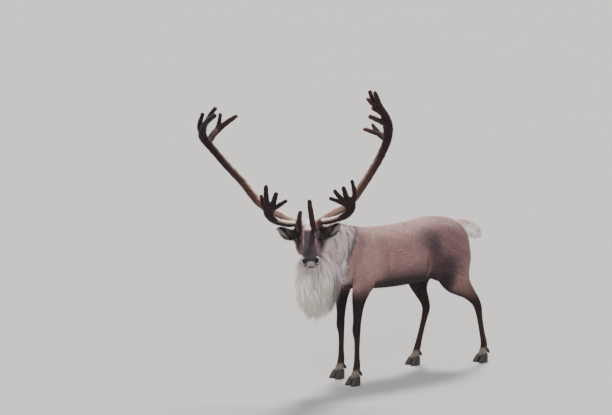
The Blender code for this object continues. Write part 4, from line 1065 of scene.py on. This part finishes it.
# %% [markdown]
# ## The throat mane
# The mane is the longest hair of the animal: white locks that start under the jaw and hang to
# the chest. A lock is a bunch of strands that share one direction and draw together towards its
# end. So first the locks are rooted, then each strand is rooted round its lock and leans to it.

# %% Mane locks and their strands
MANE_LOCKS, STRANDS = 560, 19


def grow_mane(word, side, seed):
    x, y, _ = in_layout(ground.middles).T
    weights = MANE_PART * GROWS * ((y - mane_middle(x)) * side > 0)
    hub, _, _ = ground.rooted(MANE_LOCKS, weights, seed)
    count = MANE_LOCKS * STRANDS
    roots, normals, flat = ground.rooted(count, weights, seed + 1)
    nearest = np.empty(count, int)
    for start in range(0, count, 1000):
        away = np.linalg.norm(roots[start:start + 1000, None] - hub[None], axis=2)
        nearest[start:start + 1000] = away.argmin(axis=1)
    dice, each = np.random.default_rng(seed + 2), np.random.default_rng(seed + 3)
    x, _, height = in_layout(roots).T
    length = np.interp(height, [0.62, 0.72, 0.95, 1.05], [0.085, 0.120, 0.140, 0.080])
    length *= each.uniform(0.65, 1.35, MANE_LOCKS)[nearest] * dice.uniform(0.80, 1.10, count)
    length *= 1 - 0.45 * ease(-0.86, -0.74, x)
    sway = each.normal(size=(MANE_LOCKS, 3)) * [0.12, 0.12, 0.0]
    flow = np.array([0.10, 0.0, -1.0]) + sway[nearest] + (hub[nearest] - roots) * 6.0
    lie = laid_flat(flow, normals, 0.90)
    turned = unit(np.cross(lie, np.cross(normals, lie)))
    tone = varied(dice, coat_colour(roots, normals), 0.04)
    tone *= (1 + 0.05 * each.normal(size=MANE_LOCKS))[nearest][:, None]
    width = 0.0050 * dice.uniform(0.7, 1.3, count)
    lift = dice.uniform(0.10, 0.24, count) + 0.22 * ease(0.93, 1.02, height)
    form, tones = (length, width, lift, length * 0.30), (tone * 0.93, tone * 1.03)
    mane = tufted(f"coat_mane_{word}", ground, (roots, turned, flat), lie, form, tones, 3, 0.05, False, seed + 4)
    dressed(mane, HAIR, "neck_coat")


grow_mane("left", -1, 31)
grow_mane("right", 1, 131)

# %% [markdown]
# ## The tail
# A caribou's tail is short and white with a brown root, held level when the animal is alert. Its
# core is one more stack of rings, and its long hair makes nearly all of what is seen.

# %% Tail
TAIL_TUFTS = 5600


def tail_colour(points, normals):
    brown = ease(0.64, 0.53, in_layout(points)[:, 0]) * ease(0.35, 0.9, normals[:, 2])
    return WHITE + (PALE_COAT_AND_HIGHLIGHT - WHITE) * brown[:, None]


def grow_tail():
    rows = refined(TAIL, 4)[:-2]
    rows[:, 2] -= 0.008 * ease(0.50, 0.62, rows[:, 0])
    core = stacked("tail_core", rows, 20, RIGHT, 1.0, 0.005 * ease(0.50, 0.60, rows[:, 0]))
    melted(core, 0.004, 4)
    applied(core, "TRIANGULATE")
    core.data.shade_smooth()
    unwrap(core)
    store_colour(core.data, tail_colour(*surface(core)))
    bed = Ground(core)
    uncovered = (in_layout(bed.middles)[:, 0] > 0.485).astype(float)
    rooted = roots, normals, _ = bed.rooted(TAIL_TUFTS, uncovered, 41)
    dice = np.random.default_rng(42)
    x = in_layout(roots)[:, 0]
    length = np.interp(x, [0.50, 0.60, 0.66, 0.72], [0.048, 0.062, 0.046, 0.024])
    length *= dice.uniform(0.7, 1.15, TAIL_TUFTS)
    flow = np.array([0.84, 0.0, -0.66]) + dice.normal(size=(TAIL_TUFTS, 3)) * 0.08
    tone = varied(dice, tail_colour(roots, normals), 0.05)
    width = 0.0045 * dice.uniform(0.7, 1.3, TAIL_TUFTS)
    lift = dice.uniform(0.08, 0.18, TAIL_TUFTS) + 0.34 * ease(0.2, -0.7, normals[:, 2])
    form, tones = (length, width, lift, length * 0.22), (tone * 0.95, tone * 1.03)
    coat = tufted("coat_tail", bed, rooted, laid_flat(flow, normals), form, tones, 2, 0.04, x < 0.60, 43)
    dressed(core, HIDE, "tail_coat", "tail")
    dressed(coat, HAIR, "tail_coat")


grow_tail()

# %% [markdown]
# ## Ears
# An ear is a leaf rolled into a tube at its root. It starts as a flat grid: one way runs from
# root to tip, the other round the cup. Each row of the grid is bent to an arc with its own
# radius, and Solidify gives the leaf its thickness.

# %% Ears
EAR_ROWS = np.array([  # share of the length, radius, half the arc in degrees
    (0.00, 0.018, 172), (0.20, 0.0225, 166), (0.34, 0.0295, 146), (0.48, 0.0380, 116),
    (0.64, 0.0415, 94), (0.80, 0.0350, 78), (0.92, 0.0220, 66), (1.00, 0.0040, 60),
]).T
EAR_BACK, EAR_INSIDE, EAR_HOLLOW, EAR_RIM = srgb(112, 96, 94), srgb(176, 168, 164), srgb(34, 27, 28), srgb(24, 18, 19)
EAR_TUFTS = 7000


def ear_axes(side):
    """The ear's root, and the ways along it, out of its cup and across it."""
    root, tip = (on_head(end.x, side * end.y, end.z) for end in (EAR_ROOT, EAR_AIM))
    along = (tip - root).normalized()
    facing = (HEAD_FORWARD * 0.95 - HEAD_UP * 0.30).normalized()
    facing = (facing - along * facing.dot(along)).normalized()
    return np.array(root), np.array(along), np.array(facing), np.array(along.cross(facing))


def ear_colour(points, normals, axes):
    """The ear's colours, where it is the inside of the cup, and how far along the ear."""
    root, along, facing, across = axes
    away = points - root
    share = (away @ along) / EAR_LENGTH
    round_cup = np.abs(np.degrees(np.arctan2(away @ across, -(away @ facing) + 0.4 * 0.03)))
    limit = np.interp(share, EAR_ROWS[0], EAR_ROWS[2])
    axis = root + along * (share * EAR_LENGTH)[:, None] + facing * 0.014
    inside = ease(-0.2, 0.5, (normals * unit(axis - points)).sum(axis=1))
    tone = np.tile(EAR_BACK, (len(points), 1))
    blend(tone, EAR_INSIDE, inside * ease(0.12, 0.35, share))
    blend(tone, EYE_DARK * 1.5, 0.75 * ease(0.36, 0.12, share))
    blend(tone, EAR_HOLLOW, 0.9 * inside * ease(0.66, 0.34, share) * ease(85, 30, round_cup))
    rim = ease(limit - 20, limit - 8, round_cup) + ease(0.93, 0.98, share)
    blend(tone, EAR_RIM, 0.9 * np.clip(rim, 0, 1))
    return tone, inside, share


def make_ear(word, side):
    axes = root, along, facing, across = ear_axes(side)
    ear = primitive(f"ear_skin_{word}", bpy.ops.mesh.primitive_grid_add,
                    x_subdivisions=22, y_subdivisions=30, size=2.0)
    grid = points_of(ear.data)
    share = (grid[:, 1] + 1) / 2
    radius = np.interp(share, EAR_ROWS[0], EAR_ROWS[1])
    angle = np.radians(np.interp(share, EAR_ROWS[0], EAR_ROWS[2])) * grid[:, 0]
    curl = 0.012 * np.sin(math.pi * share) - 0.012 * share + radius * 0.4
    spread = across * np.sin(angle)[:, None] - facing * np.cos(angle)[:, None]
    at = root + along * (EAR_LENGTH * share)[:, None] + spread * radius[:, None] + facing * curl[:, None]
    put_points(ear.data, at)
    applied(ear, "SMOOTH", factor=0.5, iterations=2)
    applied(ear, "SOLIDIFY", thickness=0.0042, offset=0.0)
    applied(ear, "SUBSURF", levels=1, render_levels=1)
    applied(ear, "TRIANGULATE")
    edited(ear, bpy.ops.mesh.normals_make_consistent, inside=False)
    ear.data.shade_smooth()
    unwrap(ear)
    store_colour(ear.data, ear_colour(*surface(ear), axes)[0])
    bed = Ground(ear)
    rooted = roots, normals, _ = bed.rooted(EAR_TUFTS, 1.0, 51)
    tone, inside, share = ear_colour(roots, normals, axes)
    dice = np.random.default_rng(52)
    length = 0.012 + 0.010 * inside + 0.024 * ease(0.50, 0.05, share)
    length *= dice.uniform(0.7, 1.3, EAR_TUFTS) * (1 - 0.45 * ease(0.7, 1.0, share))
    lie = laid_flat(along + dice.normal(size=(EAR_TUFTS, 3)) * 0.22, normals)
    tone = varied(dice, tone, 0.10)
    lift = dice.uniform(0.12, 0.34, EAR_TUFTS) + 0.20 * ease(0.40, 0.10, share)
    form, tones = (length, length * 0.13, lift, length * 0.1), (tone * 0.88, tone * 1.10)
    coat = tufted(f"coat_ear_{word}", bed, rooted, lie, form, tones, 1, 0.06, False, 53)
    dressed(ear, HIDE, "face_coat", f"ear_{word}")
    dressed(coat, HAIR, "face_coat")


for word, side in SIDES:
    make_ear(word, side)

# %% [markdown]
# ## Eyes and lids
# The eyeball is a sphere with the cornea's slight bulge, a brown iris and the level, oblong pupil
# of a grazing animal. The lids are a torus whose rings are laid over the eyeball: each ring runs
# out over the lid, round its wet edge and back along the eyeball.

# %% Eyes
GAZE = Vector((0.44, 0.89, 0.12)).normalized()
LID_THICKNESS, LID_CLEARANCE, LID_HAIRS = 0.0030, 0.0003, 900
OPEN_WIDE, OPEN_HIGH, LID_REACH = math.radians(60), math.radians(37), math.radians(108)
EYE_BROWN, IRIS, PUPIL = srgb(20, 14, 12), srgb(34, 20, 14), srgb(4, 4, 5)


def eye_axes(side):
    """The eye's middle, the way it looks, and its level and upright directions."""
    out = HEAD_TURN @ Vector((GAZE.x, side * GAZE.y, GAZE.z))
    level = HEAD_FORWARD * 0.96 - HEAD_UP * 0.26
    level = (level - out * level.dot(out)).normalized()
    up = out.cross(level) if side < 0 else level.cross(out)
    if up.dot(HEAD_UP) < 0:
        up = -up
    return np.array(on_head(EYE.x, side * EYE.y, EYE.z)), np.array(out), np.array(level), np.array(up)


def make_eyeball(word, centre, out, level, up):
    eye = ball(f"eyeball_{word}", Vector(centre), (EYE_RADIUS,) * 3, segments=48, rings=32)
    away = points_of(eye.data) - centre
    ahead, along, high = (away @ axis / EYE_RADIUS for axis in (out, level, up))
    put_points(eye.data, centre + away * (1 + 0.04 * ease(0.80, 1.0, ahead))[:, None])
    eye.data.shade_smooth()
    pupil = 1 - ease(0.8, 1.1, np.sqrt((along / 0.42) ** 2 + (high / 0.22) ** 2))
    tone = np.tile(EYE_BROWN, (len(away), 1))
    blend(tone, IRIS, 1 - ease(0.62, 0.70, np.sqrt(along ** 2 + high ** 2)))
    blend(tone, PUPIL, pupil * (ahead > 0))
    store_colour(eye.data, tone)
    dressed(eye, EYE_GLOSS, "eye", f"eye_{word}")


def make_lids(word, centre, out, level, up):
    lids = primitive(f"eyelids_{word}", bpy.ops.mesh.primitive_torus_add,
                     major_segments=56, minor_segments=16, major_radius=1.0, minor_radius=0.25)
    x, y, z = points_of(lids.data).T
    turn, roll = np.arctan2(y, x), np.arctan2(z, np.hypot(x, y) - 1.0)
    edge = 1.0 / np.sqrt((np.cos(turn) / OPEN_WIDE) ** 2 + (np.sin(turn) / OPEN_HIGH) ** 2)
    edge = edge * (1 - 0.08 * (1 - np.abs(np.cos(turn))))
    outward = 0.5 + 0.5 * np.cos(roll)
    from_axis = edge + (LID_REACH - edge) * outward
    radius = EYE_RADIUS + LID_THICKNESS / 2 + LID_CLEARANCE + np.sin(roll) * LID_THICKNESS / 2
    radius = (radius - 0.003 * ease(0.5, 1.0, outward))[:, None]
    spread = np.cos(turn)[:, None] * level + np.sin(turn)[:, None] * up
    at = out * np.cos(from_axis)[:, None] + spread * np.sin(from_axis)[:, None]
    put_points(lids.data, centre + at * radius)
    edited(lids, bpy.ops.mesh.normals_make_consistent, inside=False)
    lids.data.shade_smooth()
    rim = 1 - ease(0.05, 0.30, outward)
    store_colour(lids.data, EYE_DARK * 0.6 + (BLACK * 0.8 - EYE_DARK * 0.6) * rim[:, None])
    applied(lids, "TRIANGULATE")
    unwrap(lids)
    bed = Ground(lids)
    outside = np.linalg.norm(bed.middles - centre, axis=1) > EYE_RADIUS + 0.75 * LID_THICKNESS
    rooted = roots, normals, _ = bed.rooted(LID_HAIRS, outside.astype(float), 71)
    dice = np.random.default_rng(72)
    flow = roots - centre
    flow = unit(flow - out * (flow @ out)[:, None]) + level * -0.3 + dice.normal(size=roots.shape) * 0.12
    tone = varied(dice, np.tile(EYE_DARK, (LID_HAIRS, 1)), 0.10)
    length = dice.uniform(0.0045, 0.0080, LID_HAIRS)
    form = length, length * 0.22, dice.uniform(0.10, 0.30, LID_HAIRS), length * 0.0
    tones = tone * 0.9, tone * 1.1
    hair = tufted(f"coat_lids_{word}", bed, rooted, laid_flat(flow, normals), form, tones, 1, 0.05, False, 73)
    dressed(hair, HAIR, "face_coat")
    dressed(lids, HIDE, "face_coat")


for word, side in SIDES:
    axes = eye_axes(side)
    make_eyeball(word, *axes)
    make_lids(word, *axes)

# %% [markdown]
# ## Antlers in velvet
# Growing antlers are covered with furred skin, so they look thick, soft and rounded at the tips.
# Beam and tines are stacks of rings laid out level with the head, melted together by a remesh so
# that each fork has the web of skin that a real one has.

# %% Antler rows: outward, forward and up of the poll, half width, half thickness; in millimetres
BEAMS = {
    "left": [
        (50, 0, -20, 27, 27), (80, -15, 20, 28, 27), (150, -60, 55, 27, 26),
        (256, -135, 93, 26, 26), (322, -180, 137, 26, 26), (380, -220, 202, 27, 27),
        (479, -275, 327, 26, 26), (547, -297, 430, 26, 26), (592, -280, 531, 29, 24),
        (602, -230, 628, 34, 22), (588, -180, 700, 31, 19), (569, -130, 754, 23, 17),
        (551, -95, 797, 18, 16), (524, -35, 895, 12, 12),
    ],
    "right": [
        (50, 0, -20, 27, 27), (80, -15, 20, 28, 27), (141, -50, 46, 27, 26),
        (209, -100, 83, 26, 26), (284, -150, 120, 26, 26), (354, -200, 175, 27, 27),
        (448, -262, 303, 26, 26), (559, -305, 432, 25, 25), (650, -310, 553, 25, 25),
        (694, -285, 622, 28, 23), (703, -240, 670, 27, 20), (686, -190, 722, 19, 18),
        (664, -150, 757, 18, 17), (636, -105, 783, 17, 16), (598, -55, 812, 12, 12),
    ],
}
TINES = {
    "left": [
        [(562, -125, 745, 17, 15), (514, -102, 822, 15, 13), (490, -80, 900, 11, 11)],
        [(530, -106, 785, 14, 13), (500, -75, 815, 13, 12), (471, -50, 852, 10, 10)],
        [(575, -145, 720, 15, 14), (540, -110, 755, 14, 13), (500, -80, 782, 11, 10)],
        [(590, -205, 648, 18, 16), (530, -145, 690, 17, 15), (478, -80, 725, 12, 12)],
        [(590, -270, 520, 18, 17), (562, -305, 548, 19, 16), (530, -332, 572, 18, 15)],
        [(540, -325, 566, 16, 14), (490, -350, 583, 14, 13), (438, -370, 602, 11, 10)],
        [(540, -325, 566, 14, 13), (516, -350, 597, 13, 12), (498, -368, 628, 10, 10)],
        [(86, -22, 20, 15, 15), (122, 34, 26, 20, 19), (175, 108, 45, 21, 19),
         (246, 190, 78, 22, 20), (292, 225, 118, 26, 20), (296, 240, 165, 42, 17),
         (288, 245, 200, 38, 14)],
        [(281, 240, 160, 17, 13), (225, 268, 194, 13, 12), (165, 296, 228, 9, 9)],
        [(281, 240, 170, 19, 14), (236, 262, 218, 16, 13), (199, 278, 272, 11, 10)],
        [(292, 240, 178, 19, 14), (275, 250, 224, 17, 13), (260, 260, 290, 12, 11)],
        [(306, 235, 160, 19, 14), (334, 222, 230, 15, 13), (322, 200, 322, 10, 9)],
        [(50, 10, 6, 19, 18), (40, 55, -12, 19, 18), (30, 110, 25, 18, 17), (24, 138, 95, 17, 16),
         (19, 148, 195, 13, 12)],
    ],
    "right": [
        [(698, -270, 628, 18, 16), (720, -248, 715, 15, 14), (690, -220, 805, 11, 11)],
        [(664, -150, 757, 14, 14), (632, -158, 806, 14, 13), (596, -170, 848, 11, 11)],
        [(675, -295, 585, 20, 18), (635, -358, 634, 22, 17), (603, -400, 662, 21, 15)],
        [(612, -390, 652, 16, 14), (588, -428, 705, 13, 12), (574, -440, 768, 10, 10)],
        [(612, -390, 652, 18, 15), (545, -430, 700, 17, 14), (462, -440, 748, 12, 11)],
        [(86, -22, 18, 15, 15), (122, 28, 24, 20, 19), (168, 88, 42, 21, 19),
         (226, 165, 76, 22, 20), (262, 215, 120, 27, 20), (263, 232, 170, 42, 17),
         (258, 238, 205, 36, 14)],
        [(282, 225, 160, 15, 13), (303, 218, 208, 13, 12), (310, 200, 262, 9, 9)],
        [(272, 232, 170, 20, 14), (277, 242, 250, 17, 13), (271, 240, 335, 11, 10)],
        [(248, 238, 170, 21, 14), (224, 256, 230, 17, 13), (204, 262, 280, 13, 11)],
        [(243, 238, 168, 18, 14), (194, 266, 196, 14, 12), (142, 288, 228, 10, 9)],
        [(56, 10, 4, 18, 17), (64, 55, -20, 18, 16), (66, 105, 10, 17, 15), (62, 130, 60, 16, 14),
         (51, 140, 120, 12, 11)],
    ],
}

# %% Antlers
ANTLER_VOXEL, PILE_TUFTS = 0.0032, 14000
ROUND_TIP = ((0.45, 0.80), (0.80, 0.45))  # how far past the last row, and how much of the size before
ANTLER_PIECES = ("base", "middle", "crown", "rear_tine", "bez_tine", "brow_tine")
# the tan and cream are painted light and the black is painted shade
VELVET_BROWN, VELVET_DARK, VELVET_PAINTED_SHADE = srgb(72, 48, 44), srgb(36, 23, 26), srgb(22, 15, 16)
VELVET_PAINTED_HIGHLIGHT, VELVET_PAINTED_LIGHT = srgb(238, 222, 206), srgb(150, 120, 106)


def antler_stack(rows, side):
    laid = []
    for outward, forward, up, half, thick in refined(metres(rows), 5):
        centre = POLL + LEVEL_TURN @ Vector((forward, side * outward, up))
        laid.append((*centre, half, thick, thick))
    end = Vector(laid[-1][:3])
    ahead = (end - Vector(laid[-2][:3])).normalized()
    size = sum(laid[-1][3:]) / 3
    for forward, scale in ROUND_TIP:
        laid.append((*(end + ahead * size * forward), *(r * scale for r in laid[-1][3:])))
    return stacked("tine", laid, 16, LEVEL_TURN @ Vector((0.35, side * 1.0, 0.0)))


def velvet_colour(points, normals):
    """Dark brown velvet, darker further out and on the palms and brow tines, with painted light: tan and cream
    painted highlights on its upper and inner sides, on the low beams and on the tops of the bez bases, and black
    painted shade under them.
    """
    level = (in_layout(points) - np.array(POLL)) @ np.array(LEVEL_TURN)
    forward, outward = level[:, 0], np.abs(level[:, 1])
    inward = -np.sign(level[:, 1])[:, None] * np.array(LEVEL_TURN.col[1])
    ragged = 0.06 * ripple(points, 0.012, 61) + 0.05 * ripple(points, 0.05, 67)
    lit = 0.80 * normals[:, 2] + 0.60 * (normals * inward).sum(axis=1) + ragged
    top = normals[:, 2] + ragged
    palm = ease(0.165, 0.205, forward)
    brow = ease(0.050, 0.080, forward) * ease(0.100, 0.080, outward)
    low_beam = ease(0.38, 0.22, outward) * ease(0.02, -0.02, forward)
    bez_base = ease(-0.02, 0.02, forward) * ease(0.085, 0.100, outward) * (1 - palm)
    colour = VELVET_BROWN + (VELVET_DARK - VELVET_BROWN) * ease(0.30, 0.62, outward)[:, None]
    # painted light and shade: tan and cream where the surface faces up and inward, black where it faces down
    for tone, share in (
        (VELVET_PAINTED_LIGHT, 0.85 * low_beam * ease(-0.6, 0.3, top)),
        (VELVET_PAINTED_LIGHT, 0.70 * ease(0.35, 0.95, lit) * ease(0.75, 0.40, outward)),
        (VELVET_PAINTED_HIGHLIGHT, 0.75 * ease(0.88, 1.0, lit) * ease(0.70, 0.45, outward)),
        (VELVET_PAINTED_HIGHLIGHT, 0.85 * low_beam * ease(0.40, 0.90, lit)),
        (VELVET_PAINTED_LIGHT, bez_base * ease(-0.45, 0.15, top)),
        (VELVET_PAINTED_HIGHLIGHT, bez_base * ease(0.10, 0.55, top)),
        (VELVET_PAINTED_SHADE, (bez_base + 0.8 * low_beam) * ease(0.0, -0.60, top)),
        (VELVET_DARK, np.maximum(palm, 0.8 * brow)),
        (VELVET_PAINTED_LIGHT, 0.25 * palm * ease(0.6, 1.0, lit)),
    ):
        blend(colour, tone, share)
    return colour * (1 + 0.08 * ripple(points, 0.05, 62))[:, None]


def make_antler(word, side):
    antler = joined(f"antler_{word}", [antler_stack(rows, side) for rows in (BEAMS[word], *TINES[word])])
    melted(antler, ANTLER_VOXEL, 4)
    applied(antler, "TRIANGULATE")
    at, out = surface(antler)
    lumps = 0.0007 * ripple(at, 0.020, 63) + 0.0012 * ripple(at, 0.050, 68) + 0.0028
    put_points(antler.data, at + out * lumps[:, None])
    antler.data.shade_smooth()
    unwrap(antler)
    store_colour(antler.data, velvet_colour(at, out))
    bed = Ground(antler)
    rooted = roots, normals, _ = bed.rooted(PILE_TUFTS, 1.0, 64)
    dice = np.random.default_rng(65)
    flow = dice.normal(size=(PILE_TUFTS, 3)) * 0.7 + np.array([0.0, 0.0, 0.6])
    tone = velvet_colour(roots, normals) * dice.normal(1.05, 0.08, PILE_TUFTS)[:, None]
    length = dice.uniform(0.0024, 0.0038, PILE_TUFTS)
    form = length, length * 0.22, dice.uniform(0.1, 0.35, PILE_TUFTS), length * 0.0
    # the tips of the pile are painted lighter, as a soft rim highlight
    tones = tone * 0.95, tone * 1.12
    pile = tufted(f"velvet_pile_{word}", bed, rooted, laid_flat(flow, normals), form, tones, 1, 0.1, False, 66)
    dressed(antler, VELVET, "velvet", *(f"antler_{word}_{piece}" for piece in ANTLER_PIECES))
    dressed(pile, HAIR, "velvet")
    print(antler.name, len(antler.data.polygons), "triangles")


for word, side in SIDES:
    make_antler(word, side)

# %% [markdown]
# ## Hooves and dewclaws
# A caribou's hooves are broad crescents that spread on soft ground. One claw is a stack of rings,
# rounded behind and pointed in front, with a worn edge round the sole. It is modelled at its place
# for each foot, turned outward a little, and the dewclaws hang behind.

# %% Feet
HOOF_ROWS = np.array([  # height, share of the length, share of the width, how far ahead
    (0.0, 0.93, 0.90, -0.0150), (0.0025, 0.99, 0.98, -0.0155), (0.006, 1.00, 1.00, -0.0158),
    (0.014, 0.99, 1.00, -0.0148), (0.026, 0.90, 0.94, -0.0110), (0.040, 0.80, 0.88, -0.0060),
    (0.052, 0.69, 0.80, -0.0015), (0.0605, 0.60, 0.72, 0.0020),
])
DEWCLAW_ROWS = [  # behind the ankle, to its side, over the claw's height, half width, reach
    (0.012, 0.015, 0.030, 0.010, 0.010), (0.028, 0.019, 0.016, 0.0120, 0.0110),
    (0.038, 0.022, 0.002, 0.0115, 0.0100), (0.043, 0.023, -0.011, 0.0085, 0.0070),
    (0.044, 0.0235, -0.015, 0.0040, 0.0030),
]


def make_foot(leg, word, outward):
    ankle = Vector(LEGS[leg][-1][:3])
    lateral = outward if ankle.y > 0 else -outward
    stack = [(*(BOX_MIDDLE + Vector((0.0, 0.0, height))), 1.0, 1.0, 1.0) for height in HOOF_ROWS[:, 0]]
    hoof = stacked(f"claw_{leg}_{word}", stack, 40, RIGHT)
    x, y, height = points_of(hoof.data).T
    angle = np.arctan2(y, x)
    long, wide, ahead = (np.interp(height, HOOF_ROWS[:, 0], HOOF_ROWS[:, k]) for k in (1, 2, 3))
    toe = np.maximum(0.0, np.cos(angle))
    x = np.cos(angle) * HOOF_LENGTH / 2 * long - ahead
    y = np.sin(angle) * HOOF_WIDTH / 2 * wide * (1 - 0.35 * toe ** 2)
    put_points(hoof.data, np.stack([x, y, height], axis=1))
    place = Matrix.Translation((ankle.x, ankle.y + lateral * (HOOF_WIDTH / 2 + 0.0012), 0.0))
    turn = Matrix.Rotation(math.pi - HOOF_SPREAD * lateral, 4, "Z")
    hoof.data.transform(Matrix.Translation(-BOX_MIDDLE) @ (place @ turn))
    hoof.data.shade_smooth()
    hoof.data.set_sharp_from_angle(angle=math.radians(50))
    dressed(hoof, HORN, "hoof_horn", f"hoof_{leg}_{word}")
    claw_rows = [
        (ankle.x + back, ankle.y + lateral * aside, DEWCLAW_HEIGHT + over, half, reach, reach)
        for back, aside, over, half, reach in DEWCLAW_ROWS
    ]
    claw = stacked(f"small_claw_{leg}_{word}", refined(claw_rows, 4), 14, RIGHT)
    claw.data.shade_smooth()
    dressed(claw, HORN, "hoof_horn", f"dewclaw_{leg}_{word}")


for leg in LEGS:
    make_foot(leg, "outer", 1)
    make_foot(leg, "inner", -1)

# %% [markdown]
# ## Stage
# A plain pale floor and broad soft lights, as in a studio. The main light is high and behind, as
# the sun was, so that the back, antlers and tail are rimmed; a wide front light fills the rest.

# %% Floor and lights
def floor_build(at):
    return {"Roughness": at.noise(0.6, 3.0) * 0.1 + 0.8}


floor = primitive("floor", bpy.ops.mesh.primitive_plane_add, size=400.0)
floor.data.materials.append(finish("floor_pale", 0.85, floor_build, Base_Color=(0.43, 0.425, 0.415, 1.0)))

world = bpy.data.worlds.new("studio")
bpy.context.scene.world = world
world.use_nodes = True
sky = world.node_tree.nodes["Background"].inputs
sky["Color"].default_value, sky["Strength"].default_value = (0.93, 0.95, 1.0, 1.0), 0.80


def sun(name, place, width, power, colour):
    """A parallel light from this side, as wide in the sky as its angle in degrees says."""
    bpy.ops.object.light_add(type="SUN", location=place)
    light = bpy.context.object
    light.name = name
    light.data.angle, light.data.energy, light.data.color = math.radians(width), power, colour
    light.rotation_euler = Vector(place).to_track_quat("Z", "Y").to_euler()


sun("high_light", (2.4, 2.2, 6.0), 14, 4.6, (1.0, 0.97, 0.92))
sun("front_light", (-5.0, -6.5, 4.0), 45, 1.8, (1.0, 0.97, 0.96))
print("stage set")
